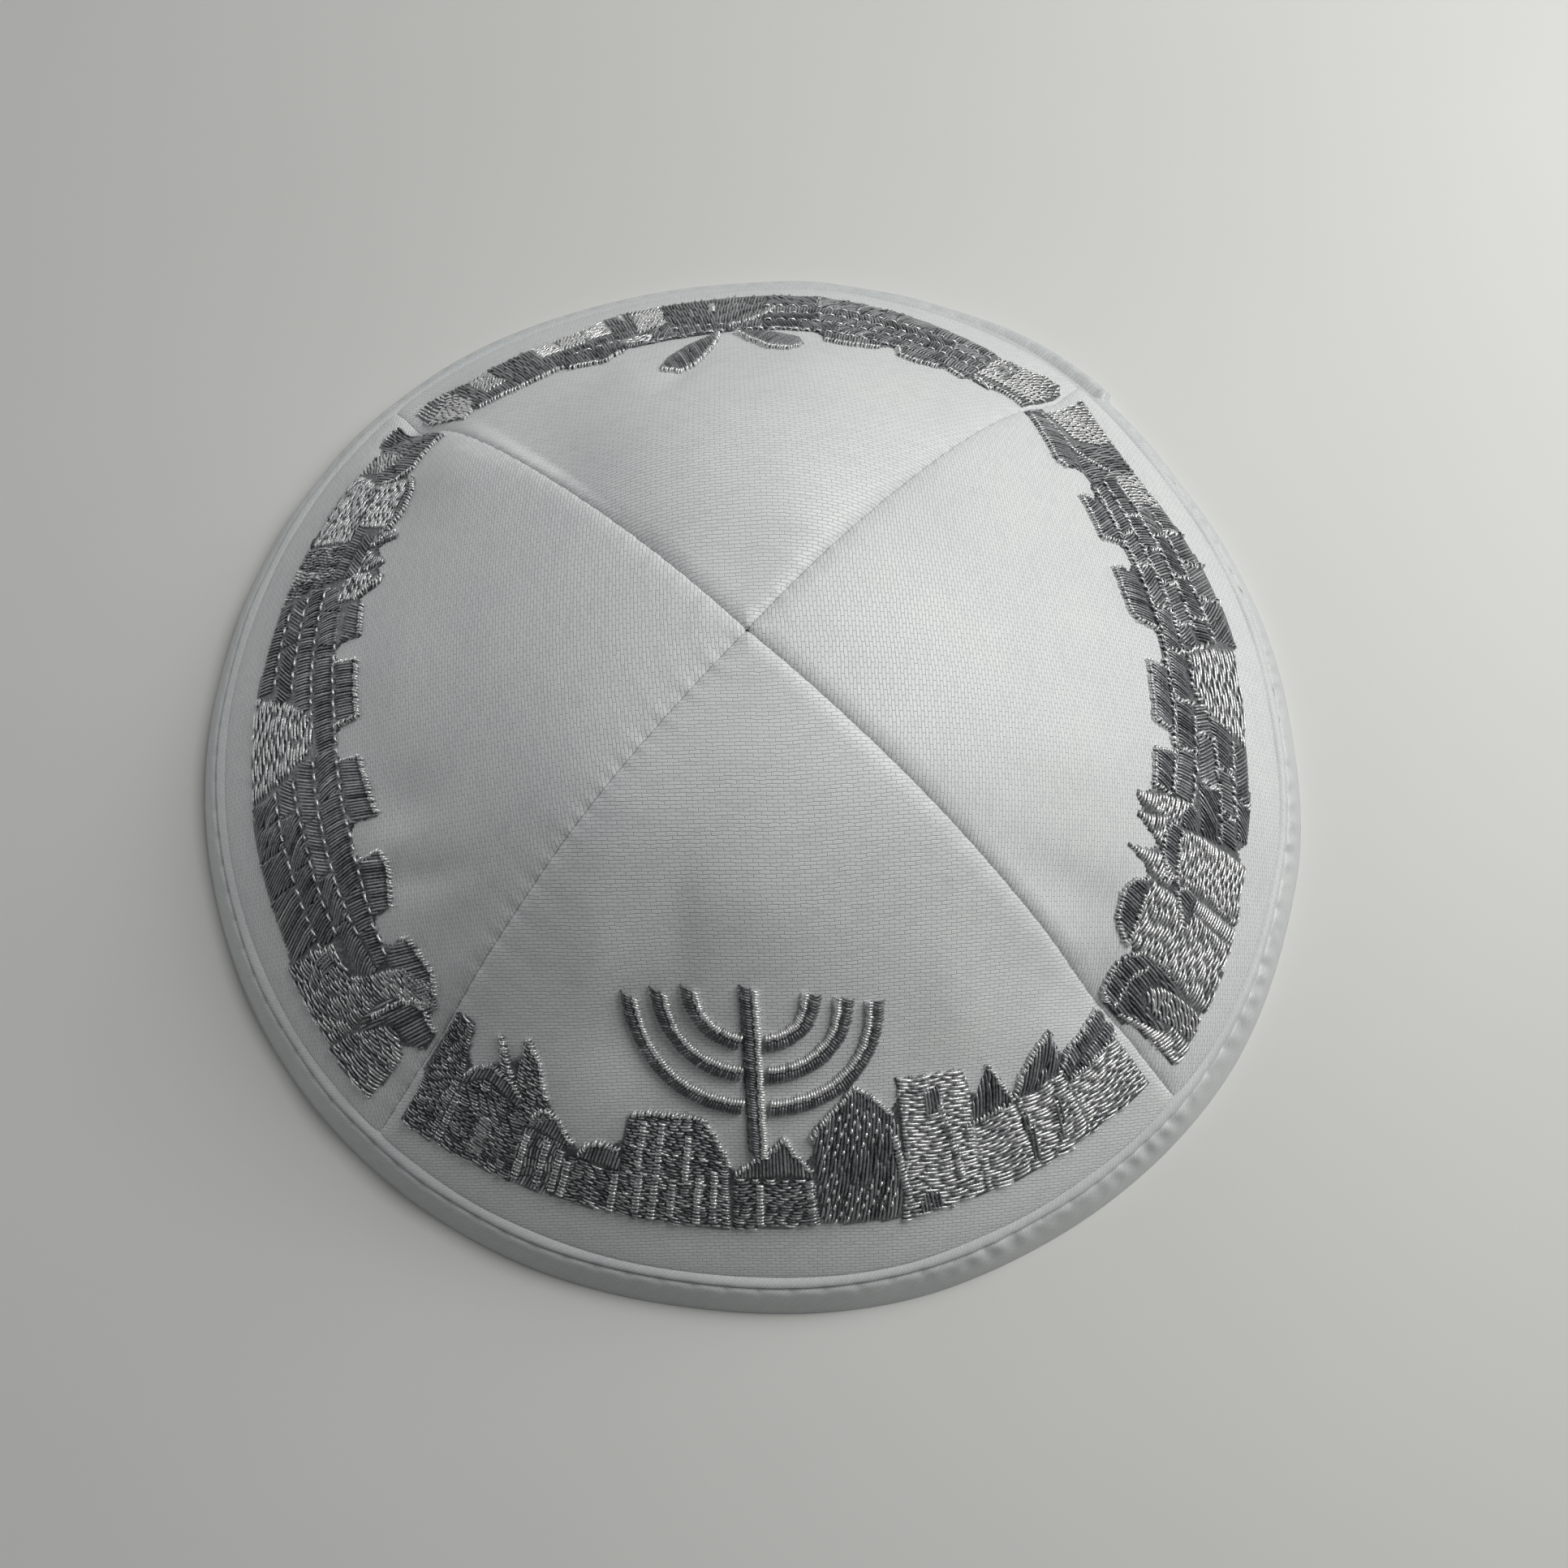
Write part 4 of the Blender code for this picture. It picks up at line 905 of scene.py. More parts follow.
rightPicture = {
    "drop": 0.5, "shine": 0.25, "darkFillPaintedShading": 0.0, "beaded": True,
    "fills": [
        ("dark", 88, [(-.985, 18.6), (-.975, 20.6), (-.95, 22), (-.91, 22.5), (-.863, 21.9),
                      (-.835, 20.5), (-.822, 18.5), (-.805, 14.5), (-.815, 11.5), (-.84, 11), (-.855, 14.5),
                      (-.88, 15.8), (-.91, 15.5), (-.925, 12.5), (-.915, 9), (-.93, 9), (-.96, 13.5),
                      (-.985, 17)]),
        ("light", 60, [(-.915, 12.5), (-.905, 15.3), (-.885, 15.8), (-.86, 14), (-.84, 11), (-.835, 5),
                       (-.885, 4.5), (-.905, 8.5)]),
        ("light", -14, [(-.985, 17), (-.968, 12.5), (-.955, 4.3), (-.895, 4), (-.90, 8.8), (-.925, 9.2),
                        (-.955, 13.7), (-.975, 16.5)]),
        ("light", 0, [(-.818, 5), (-.832, 22), (-.80, 22.9), (-.70, 23.8), (-.652, 23.6), (-.645, 19),
                      (-.66, 17), (-.70, 15.2), (-.65, 14.5), (-.65, 5.4)]),
        ("dark", 88, [(-.84, 22.8), (-.82, 25), (-.80, 26.1), (-.735, 27.3), (-.69, 26.8), (-.655, 24.4),
                      (-.70, 24.1), (-.80, 23.3)]),
        ("dark", 80, [(-.70, 15.3), (-.68, 17.5), (-.63, 19.1), (-.607, 17.3), (-.61, 15.6)]),
        ("light", 0, [(-.65, 5.6), (-.65, 15.2), (-.61, 15.4), (-.605, 5.8)]),
        ("light", 0, [(-.65, 21), (-.635, 24), (-.605, 30), (-.565, 24), (-.60, 20)]),
        ("light", 0, [(-.545, 24.6), (-.50, 30.6), (-.46, 24.6)]),
        ("light", 0, [(-.475, 22), (-.46, 30.6), (-.435, 31.2), (-.395, 25), (-.385, 21.4)]),
        ("dark", 86, [(-.622, 19.8), (-.612, 22.2), (-.56, 23.9), (-.51, 24.4), (-.472, 23.6),
                      (-.472, 21.4), (-.52, 21.6), (-.58, 20.6)]),
        ("light", 3, [(-.60, 5.9), (-.60, 19.6), (-.58, 20.4), (-.52, 21.3), (-.47, 21), (-.455, 17),
                      (-.45, 7)]),
        ("dark", 66, [(-.455, 18.4), (-.462, 21.6), (-.39, 22.2), (-.40, 19.2)]),
        ("dark", 70, [(-.396, 24.9), (-.388, 28.3), (-.272, 28.8), (-.262, 25)]),
        ("dark", 60, [(-.198, 25), (-.178, 28.7), (.022, 28.7), (.002, 25)]),
        ("dark", 74, [(.135, 25.1), (.165, 29.2), (.20, 30.1), (.352, 30.1), (.352, 28.6), (.325, 25.5)]),
        ("dark", 108, [(.438, 25), (.47, 29.3), (.634, 27.8), (.622, 25.6), (.58, 24.2)]),
        ("rows", -3, [(-.152, 8.1), (-.13, 13), (-.10, 17), (-.04, 19.6), (.02, 19.6), (.08, 19),
                      (.112, 14), (.132, 7)]),
        ("grey", 0, [(-.385, 24.2), (-.385, 25.2), (.44, 25.4), (.66, 23.9), (.66, 23), (.44, 24.6)]),
        ("light", 85, [(.572, 7.7), (.572, 15.6), (.685, 15.8), (.685, 7.9)]),
        ("dark", 90, [(.69, 8), (.655, 17.4), (.655, 23), (.72, 22.8), (.78, 22), (.815, 20), (.80, 13),
                      (.795, 7.6)]),
        ("dark", 62, [(.738, 22.6), (.748, 26.3), (.784, 27.2), (.888, 25.4), (.975, 23.9), (.988, 22.4),
                      (.972, 18.6), (.85, 18.6), (.80, 21.4)]),
        ("light", 80, [(.802, 7.5), (.802, 14), (.84, 18.2), (.96, 18.2), (.965, 4), (.90, 5.6)]),
    ],
    "overlays": [],
    "edges": [
        [(-.985, 19.6), (-.97, 21.6), (-.907, 22.6), (-.855, 21.5), (-.824, 19.2)],
        [(-.98, 18.4), (-.93, 19.2), (-.88, 19), (-.845, 17.6)],
        [(-.838, 23.2), (-.80, 26.2), (-.735, 27.4), (-.69, 26.9), (-.657, 24.6)],
        [(-.84, 22.6), (-.70, 23.9)],
        [(-.62, 22), (-.56, 24), (-.51, 24.5), (-.475, 23.8)], [(-.62, 19.6), (-.52, 21.4), (-.47, 21.3)],
        [(-.70, 15.6), (-.63, 19.2), (-.61, 17.4)],
        [(-.394, 25.2), (-.387, 28.4), (-.272, 28.9), (-.262, 25.2)],
        [(-.196, 25.2), (-.178, 28.8), (.022, 28.8), (.004, 25.2)],
        [(.137, 25.4), (.165, 29.3), (.20, 30.2), (.352, 30.2), (.35, 28.6)],
        [(.44, 25.2), (.47, 29.4), (.636, 27.9), (.622, 25.8)],
        [(.748, 26.3), (.784, 27.3), (.888, 25.5), (.958, 23.8)],
        [(.70, 16.5), (.75, 19.5), (.80, 21.6), (.96, 20.6)],
    ],
    "columns": [],
    "dots": [],
    "runs": [
        [(-.39, 24.9), (.44, 25.1), (.65, 23.6)], [(-.40, 20.8), (-.13, 20.6)],
        [(.06, 20.9), (.40, 21.4), (.66, 20.4)],
        [(-.44, 13.6), (-.31, 15.6), (-.17, 16.4)], [(.16, 16.9), (.33, 17.2), (.66, 16.8)],
        [(-.36, 10.9), (-.25, 12.3), (-.15, 11.8)],
        [(.14, 12.3), (.33, 13), (.55, 12.8)], [(-.12, 16.9), (-.04, 20.2), (.08, 19.8), (.12, 14)],
    ],
    "courses": [
        ([-.39, -.24, -.09, .07, .21, .36, .48, .66],
         [(-.39, 20.8), (.07, 20.8), (.40, 21.4), (.66, 20.4)], [(-.39, 24.6), (.36, 25), (.66, 23.2)]),
        ([-.45, -.31, -.17, -.08], [(-.45, 13.4), (-.31, 15.4), (-.08, 17.2)],
         [(-.45, 17.8), (-.31, 20), (-.08, 20.4)]),
        ([.10, .17, .30, .42, .54, .66], [(.10, 17), (.33, 17.2), (.66, 17)],
         [(.10, 20.4), (.40, 21.2), (.66, 20.2)]),
        ([-.43, -.36, -.25, -.11], [(-.43, 9), (-.36, 11), (-.25, 12.6), (-.11, 11.8)],
         [(-.43, 13.2), (-.36, 14.6), (-.25, 16.2), (-.11, 17.2)]),
        ([.13, .20, .33, .47, .57], [(.13, 12.4), (.33, 13), (.57, 12.8)],
         [(.13, 16.6), (.33, 17), (.57, 16.8)]),
        ([-.40, -.30, -.15], [(-.40, 7.3), (-.15, 8.1)], [(-.40, 9.8), (-.30, 11), (-.15, 11.6)]),
        ([.14, .27, .38, .48, .57], [(.14, 6), (.38, 6.5), (.57, 7.6)],
         [(.14, 12.1), (.33, 12.8), (.57, 12.6)]),
    ],
}
backPicture = {
    "drop": 0.8, "shine": 0.22, "darkFillPaintedShading": 0.0, "beaded": False,
    "fills": [
        ("dark", 90, [(-.985, 19.4), (-.985, 22.6), (-.90, 24.1), (-.855, 24.8), (-.815, 23.6),
                      (-.86, 22.4), (-.92, 21)]),
        ("light", 78, [(-.985, 7), (-.985, 19.2), (-.92, 20.8), (-.81, 22.8), (-.80, 11), (-.83, 9),
                       (-.88, 7.5), (-.93, 5.4), (-.97, 5.2)]),
        ("light", 0, [(-.888, 24.2), (-.88, 26.1), (-.82, 26.1), (-.80, 23.8), (-.86, 24.8)]),
        ("dark", 80, [(-.805, 23.8), (-.79, 27.2), (-.73, 26.4), (-.705, 24.8)]),
        ("dark", 84, [(-.705, 24.8), (-.695, 27.4), (-.62, 28.2), (-.565, 27.9), (-.54, 24.9)]),
        ("dark", 96, [(-.492, 24.9), (-.488, 27.5), (-.37, 29.1), (-.305, 28.7), (-.295, 25.2)]),
        ("grey", 0, [(-.55, 24.6), (-.55, 25.2), (-.30, 25.8), (.0, 25.2), (.31, 25.6), (.31, 24.4),
                     (-.1, 24.6)]),
        ("dark", 86, [(-.085, 5.6), (-.085, 24.6), (.06, 24.6), (.06, 5.4)]),
        ("dark", 94, [(.062, 5.4), (.062, 24.6), (.22, 24.8), (.21, 5.4)]),
        ("light", 66, [(.215, 5.4), (.218, 18), (.31, 20), (.30, 5.4)]),
        ("dark", 70, [(.20, 18), (.20, 24.8), (.31, 25.4), (.42, 25), (.42, 20), (.31, 19.6)]),
        ("dark", 90, [(.305, 5.5), (.305, 19), (.34, 23.2), (.385, 26.2), (.46, 28.1), (.57, 25.9),
                      (.588, 24.5), (.755, 24.2), (.755, 9), (.62, 9), (.62, 17), (.55, 17.4), (.385, 17),
                      (.38, 6)]),
        ("light", 30, [(.385, 7), (.388, 16.6), (.462, 16.6), (.458, 8.6)]),
        ("light", 70, [(.465, 9), (.468, 17), (.545, 17.2), (.54, 9.4)]),
        ("light", 30, [(.548, 9.2), (.55, 17.2), (.618, 16.8), (.615, 9.2)]),
        ("light", 60, [(.758, 9), (.758, 19), (.825, 19), (.825, 9)]),
        ("dark", 88, [(.758, 19.2), (.758, 24), (.80, 23), (.88, 22.3), (.90, 20), (.87, 19), (.87, 7),
                      (.828, 8), (.828, 19)]),
        ("light", 100, [(.872, 6.6), (.872, 18.6), (.90, 21), (.945, 22.6), (.97, 19), (.975, 5),
                        (.93, 5)]),
    ],
    "overlays": [
        ("dark", 90, [(-.87, 8.6), (-.872, 18), (-.832, 18), (-.83, 10)]),
        ("light", 10, [(.27, 22), (.28, 25), (.36, 24.4), (.40, 22)]),
    ],
    "edges": [
        [(-.985, 22.7), (-.90, 24.2), (-.855, 24.9)],
        [(-.70, 27.2), (-.62, 28.3), (-.565, 28), (-.545, 25.4)],
        [(-.488, 27.6), (-.37, 29.2), (-.305, 28.8)], [(-.79, 27.2), (-.73, 26.4)],
        [(.385, 26.4), (.46, 28.2), (.57, 26)], [(.588, 24.6), (.755, 24.3), (.88, 22.5)],
        [(.90, 21), (.945, 22.7)],
        [(-.12, 14), (-.10, 17.6), (-.05, 21), (.02, 23.5)],
    ],
    "columns": [(.07, 9, 15), (.34, 7, 10)],
    "dots": [],
    "runs": [
        [(-.80, 21.2), (-.40, 21.4), (-.09, 21.4)], [(-.80, 17.6), (-.40, 17.6), (-.09, 17.6)],
        [(-.79, 13.6), (-.40, 13.5), (-.09, 13.2)],
        [(-.55, 25.2), (-.30, 25.8), (-.02, 25.4)], [(.0, 22.6), (.20, 21.4)], [(.40, 21.8), (.55, 21.2)],
    ],
    "courses": [
        ([-.80, -.70, -.57, -.45, -.33, -.21, -.09], [(-.80, 21.3), (-.09, 21.5)],
         [(-.80, 24.6), (-.30, 25.2), (-.09, 25)]),
        ([-.80, -.74, -.62, -.50, -.38, -.26, -.09], [(-.80, 17.7), (-.09, 17.7)],
         [(-.80, 21), (-.09, 21.2)]),
        ([-.79, -.68, -.56, -.44, -.32, -.20, -.09], [(-.79, 13.8), (-.09, 13.5)],
         [(-.79, 17.3), (-.09, 17.4)]),
        ([-.78, -.70, -.60, -.48, -.36, -.24, -.09], [(-.78, 9), (-.50, 6.6), (-.09, 5.6)],
         [(-.78, 13.4), (-.09, 13)]),
    ],
}
leftPicture = {
    "drop": 0.3, "shine": -0.16, "darkFillPaintedShading": 0.06, "beaded": False,
    "fills": [
        ("dark", 90, [(-.972, 4), (-.972, 22.5), (-.93, 22.9), (-.82, 23.7), (-.77, 21), (-.752, 18.3),
                      (-.757, 15), (-.79, 14.2), (-.83, 17), (-.868, 17.5), (-.875, 8.5), (-.90, 5)]),
        ("light", 60, [(-.87, 8), (-.868, 17), (-.83, 17.1), (-.79, 14.4), (-.785, 8)]),
        ("light", 7, [(-.783, 8), (-.758, 15), (-.755, 18.5), (-.772, 22), (-.782, 25.3), (-.70, 26.9),
                      (-.60, 26.7), (-.60, 19.6), (-.545, 19), (-.545, 8)]),
        ("dark", 84, [(-.792, 25.4), (-.775, 27), (-.73, 28.4), (-.67, 28.6), (-.595, 27.4), (-.60, 26.5),
                      (-.68, 27), (-.74, 26.3)]),
        ("dark", 78, [(-.635, 19.2), (-.60, 21.6), (-.55, 22.6), (-.43, 22.2), (-.42, 19.2)]),
        ("dark", 60, [(-.585, 22), (-.57, 25.4), (-.44, 25.4), (-.43, 22.4)]),
        ("grey", 0, [(-.602, 25.4), (-.592, 29.9), (-.572, 29.8), (-.53, 25.2)]),
        ("light", 0, [(-.522, 25.4), (-.502, 29.2), (-.487, 30.3), (-.45, 27), (-.44, 25.2)]),
        ("light", 0, [(-.452, 25.2), (-.437, 30.9), (-.402, 30.7), (-.35, 26), (-.342, 22.6),
                      (-.40, 22.4)]),
        ("grey", 88, [(-.54, 7.6), (-.54, 19), (-.42, 19), (-.40, 14), (-.375, 7.4)]),
        ("dark", 74, [(-.34, 25.4), (-.335, 28.7), (-.222, 29.9), (-.212, 25.7)]),
        ("dark", 84, [(-.142, 25.9), (-.14, 30.4), (.058, 31.3), (.062, 27)]),
        ("dark", 70, [(.178, 26.7), (.19, 31.1), (.40, 31.5), (.388, 29.8), (.375, 26.6)]),
        ("dark", 62, [(.488, 25.6), (.508, 30.1), (.56, 30.1), (.662, 27.3), (.655, 25), (.64, 23.8)]),
        ("rows", -4, [(-.12, 7.4), (-.08, 14), (-.04, 19), (-.01, 21), (.04, 22.1), (.09, 21.9),
                      (.13, 20), (.157, 14), (.172, 7.1)]),
        ("light", -2, [(.575, 5.2), (.595, 11), (.62, 15.2), (.72, 14.6), (.75, 17.4), (.785, 20.6),
            (.81, 22.6), (.95, 22.6), (.92, 20.4), (.85, 18.8), (.82, 15.8), (.812, 11), (.79, 4.6)]),
        ("dark", 60, [(.752, 21.3), (.752, 25.5), (.772, 26.5), (.89, 25.8), (.93, 23.6), (.955, 22.6),
                      (.95, 20.8), (.90, 21.4)]),
        ("light", -4, [(.755, 17), (.785, 20.6), (.81, 23), (.90, 24.4), (.95, 22.6), (.92, 20.4),
                       (.85, 18.8)]),
        ("dark", 70, [(.848, 18.8), (.915, 20.9), (.985, 19.3), (.978, 15.4), (.915, 14.8), (.875, 15),
                      (.848, 12.4), (.83, 9.6), (.812, 11.6), (.822, 15.8)]),
        ("light", 3, [(.85, 12.4), (.88, 14.8), (.91, 14.9), (.955, 12.4), (.94, 3.6), (.79, 3.8),
                      (.82, 9.2)]),
    ],
    "overlays": [
        ("dark", 88, [(.62, 10), (.62, 14), (.665, 14), (.665, 10)]),
        ("light", 80, [(-.475, 7.6), (-.47, 12), (-.435, 17), (-.425, 8)]),
    ],
    "edges": [
        [(-.97, 22.8), (-.82, 23.9), (-.77, 21.4), (-.752, 18.6)],
        [(-.79, 25.6), (-.73, 28.5), (-.67, 28.7), (-.60, 27.5)],
        [(-.335, 28.8), (-.222, 30)], [(-.14, 26), (-.14, 30.5), (.058, 31.4), (.062, 27.4)],
        [(.19, 31.2), (.40, 31.6)], [(.182, 27), (.19, 31)],
        [(.49, 26), (.508, 30.2), (.56, 30.2), (.662, 27.4)],
        [(.755, 25.6), (.772, 26.6), (.89, 25.9), (.94, 23.8)],
        [(.83, 13.5), (.86, 18.2), (.90, 21.3), (.945, 20.8), (.985, 19.4)], [(-.965, 4.4), (-.92, 5)],
        [(-.437, 31), (-.35, 26.4)],
        [(-.60, 29.6), (-.535, 25.6)],
    ],
    "columns": [],
    "dots": [],
    "runs": [
        [(-.21, 25.2), (.0, 26.8), (.13, 27.1)], [(.13, 26.9), (.38, 26.4), (.50, 25.6), (.66, 23.6)],
        [(-.39, 19), (-.20, 20.6), (-.02, 22), (.07, 22.6)], [(.14, 22.2), (.40, 21.2), (.66, 20)],
        [(-.38, 15), (-.22, 16.2), (-.08, 16.9)],
        [(.17, 17.5), (.35, 17.6), (.62, 16.6)], [(-.34, 11), (-.12, 12.1)],
        [(.17, 13), (.36, 12.9), (.60, 12.8)],
        [(.66, 23.4), (.76, 22.2)],
    ],
    "courses": [
        ([-.40, -.32, -.21, -.05, .13], [(-.40, 18.8), (-.20, 20.8), (-.02, 22.2), (.13, 22.8)],
         [(-.40, 23.4), (-.21, 25), (.0, 26.6), (.13, 27)]),
        ([.13, .27, .41, .55, .66, .76], [(.13, 22.4), (.40, 21.4), (.76, 19.6)],
         [(.13, 26.7), (.38, 26.2), (.50, 25.4), (.66, 23.4), (.76, 22)]),
        ([-.40, -.28, -.16, -.02], [(-.40, 15), (-.22, 16.4), (-.02, 17.4)],
         [(-.40, 18.6), (-.20, 20.4), (-.02, 21.8)]),
        ([.13, .30, .46, .60, .76], [(.13, 17.6), (.35, 17.8), (.76, 16.4)],
         [(.13, 22), (.40, 21), (.76, 19.2)]),
        ([-.38, -.24, -.07], [(-.38, 10.8), (-.07, 12.4)], [(-.38, 14.8), (-.22, 16), (-.07, 16.8)]),
        ([.155, .25, .40, .50, .61], [(.155, 13.2), (.36, 13.1), (.61, 13)],
         [(.155, 17.3), (.35, 17.4), (.61, 16.6)]),
        ([-.37, -.30, -.12], [(-.37, 7.4), (-.12, 7.2)], [(-.37, 10.6), (-.12, 11.8)]),
        ([.17, .32, .42, .58], [(.17, 6.8), (.58, 6.2)], [(.17, 12.7), (.36, 12.7), (.58, 12.6)]),
    ],
}
pictures = {"front": frontPicture, "right": rightPicture, "back": backPicture, "left": leftPicture}


# a stitch on the cloth: how high its ends lie in mm, how square its arch is, how fast it rises from its
# ends, and how near a seam it may come as a share of the gore
laid = {"ends": 0.06, "squareness": 2.6, "steepness": 2.0, "reach": 0.992}


def threadTubes(gore, stitches, realWidth=False, drop=0.0):
    # the stitches of one gore as thread tubes, their ends drawn down into the cloth
    x0, y0, x1, y1, width, lift, rise, tone, endTone = np.array(stitches, float).T[:, :, None]
    share = np.linspace(0.0, 1.0, knots)[None, :]
    x = x0 + (x1 - x0) * share
    y = y0 + (y1 - y0) * share
    arch = 1.0 - np.abs(2.0 * share - 1.0) ** laid["squareness"]
    proud = laid["ends"] + lift * np.minimum(1.0, laid["steepness"] * arch) + rise * arch
    slant = binding["width"] + y - drop
    place = x / chartWidth
    if realWidth:
        start, end = goreSpan(gore)
        halfTurn = math.radians(0.5 * (end - start))
        place = x / (halfTurn * crown["rimRadius"] / mm * alongAt(slant))
    spine, up = clothPoint(gore, np.clip(place, -laid["reach"], laid["reach"]), slant, proud)
    points, faces = tubes(spine, up, width)
    # the silver thread takes the light fills and the stitches given a painted glint or highlight
    silver = (endTone[:, 0] > silverFrom).astype(int)
    marks = np.concatenate([np.repeat(silver, (knots - 1) * sides), silver, silver])
    tone = tone + (endTone - tone) * share
    return points, faces, np.repeat(tone[:, :, None], sides, 2).reshape(-1), marks


def spread(mask, cells):
    for _ in range(cells):
        around = np.pad(mask, 1)
        mask = mask | around[:-2, 1:-1] | around[2:, 1:-1] | around[1:-1, :-2] | around[1:-1, 2:]
    return mask


# the backing stitches under the fills, dark so that they show between the rows: a thin pad of small
# squares whose dark tone is partly the backing's own and partly painted shade between the rows. Its
# holes are closed when they are no wider than four squares, lengths in mm
backingWithPaintedGapShade = {"cell": 0.5, "low": 0.03, "high": 0.15, "tallest": 40.0, "close": 2, "reach": 0.99,
           "tone": 0.04}


def underlayWithPaintedGapShade(gore, outlines, drop):
    cell = backingWithPaintedGapShade["cell"]
    xs = np.arange(-chartWidth, chartWidth + cell, cell)
    ys = np.arange(0.0, backingWithPaintedGapShade["tallest"], cell)
    middles = np.meshgrid(xs[:-1] + cell / 2, ys[:-1] + cell / 2, indexing="ij")
    middles = np.stack(middles, -1).reshape(-1, 2)
    kept = np.zeros(len(middles), bool)
    for outline in outlines:
        kept |= insideOf(onChart(outline), middles)
    kept = ~spread(~spread(kept.reshape(len(xs) - 1, len(ys) - 1), backingWithPaintedGapShade["close"]), backingWithPaintedGapShade["close"])
    around = np.pad(kept, 1)
    corner = around[:-1, :-1] | around[1:, :-1] | around[:-1, 1:] | around[1:, 1:]
    number = -np.ones(corner.shape, int)
    number[corner] = np.arange(corner.sum())
    grid = np.stack(np.meshgrid(xs, ys, indexing="ij"), -1)[corner]
    place = np.clip(grid[:, 0] / chartWidth, -backingWithPaintedGapShade["reach"], backingWithPaintedGapShade["reach"])
    slant = binding["width"] + grid[:, 1] - drop
    top, _ = clothPoint(gore, place, slant, backingWithPaintedGapShade["high"] + 0.0 * place)
    bottom, _ = clothPoint(gore, place, slant, backingWithPaintedGapShade["low"] + 0.0 * place)
    count = len(grid)
    faces = []
    for i, j in zip(*np.nonzero(kept)):
        a, b, c, d = (int(v) for v in number[[i, i + 1, i + 1, i], [j, j, j + 1, j + 1]])
        faces.append((a, b, c, d))
        faces.append((d + count, c + count, b + count, a + count))
        for p, q, di, dj in ((a, b, 0, -1), (b, c, 1, 0), (c, d, 0, 1), (d, a, -1, 0)):
            if not around[i + 1 + di, j + 1 + dj]:
                faces.append((q, p, p + count, q + count))
    return np.concatenate([top, bottom]), faces


# what is sewn over the fills lies this much higher, and a column, a bright bar, is this wide, in mm
sewnOver = {"raise": 0.12, "columnWidth": 1.0, "columnTone": (0.6, 0.95)}


def embroider(gore):
    picture = pictures[gore]
    stitches, outlines = [], []
    for kind, angle, outline in picture["fills"]:
        # light and dark fills gain their gore's painted light and shade in tone
        fillPaintedShading = {"light": picture["shine"], "rows": 0.0}.get(kind, picture["darkFillPaintedShading"])
        fill(stitches, kind, angle, outline, stitchKinds[kind]["tone"] + fillPaintedShading)
        outlines.append(outline)
    for breaks, low, high in picture["courses"]:
        course(stitches, outlines, breaks, low, high, picture["darkFillPaintedShading"], picture["beaded"])
    raised = []
    for kind, angle, outline in picture["overlays"]:
        fill(raised, kind, angle, outline)
    half = 0.5 * sewnOver["columnWidth"] / chartWidth
    for place, low, high in picture["columns"]:
        column = [(place - half, low), (place - half, high), (place + half, high), (place + half, low)]
        fill(raised, "light", 0, column, rng.uniform(*sewnOver["columnTone"]))
    stitches += [(*one[:5], one[5] + sewnOver["raise"], *one[6:]) for one in raised]
    for line in picture["edges"]:
        edge(stitches, line)
    for line in picture["runs"]:
        if picture["beaded"]:
            edge(stitches, line, mortar)
        else:
            runLine(stitches, line)
    for outline in picture["dots"]:
        dots(stitches, outline)
    points, faces, tone, marks = threadTubes(gore, stitches, drop=picture["drop"])
    padPoints, padFaces = underlayWithPaintedGapShade(gore, outlines, picture["drop"])
    faces = faces + [tuple(v + len(points) for v in face) for face in padFaces]
    # the pad's dark tone: the backing's own, and partly painted shade between the rows
    tone = np.concatenate([tone, np.full(len(padPoints), backingWithPaintedGapShade["tone"])])
    marks = np.concatenate([marks, np.zeros(len(padFaces), int)])
    print(gore, "skyline:", len(stitches), "stitches")
    return addPiece("embroidered_skyline_" + gore, np.concatenate([points, padPoints]), faces, lurex,
                    "skyline_" + gore, tone=tone, marks=marks)


skylines = {gore: embroider(gore) for gore in pictures}


# the menorah: satin stitch laid across each stroke, its upper edge arched into the light, with a
# painted highlight there and a painted shade on the stroke's other side. Lengths are in mm, and an arm
# is (how far out it reaches, where it leaves the stem, where it ends)
menorah = {
    "stemSide": -2.1, "stemWidth": 2.4, "stemLow": 19.0, "stemHigh": 42.4, "armWidth": 2.40,
    "pitch": 0.37, "fullness": 0.87, "lean": 0.28,
    "arms": {"outer": (14.9, 25.8, 38.7), "middle": (11.1, 30.5, 40.2), "inner": (7.2, 34.9, 41.3)},
    # its thread, how far each stitch starts and ends past the stroke, and where along it the painted
    # shade gives way to the painted highlight
    "thread": 0.31, "lift": 0.24, "rise": 0.34, "starts": (-0.08, 0.12), "ends": (-0.10, 0.14),
    "split": (0.10, 0.24), "overlap": 0.2, "litRise": 0.08,
    # tones: the stem's and the arms' painted shade on each stitch's half away from the light, how much it
    # lightens and varies, then the painted highlight on the half that faces it, how much it fades and varies
    "stemPaintedShade": 0.06, "armPaintedShade": 0.03, "paintedShadeGain": 0.05, "spread": 0.08,
    "paintedHighlight": 1.2, "paintedHighlightLoss": 0.15, "paintedHighlightSpread": 0.25,
}


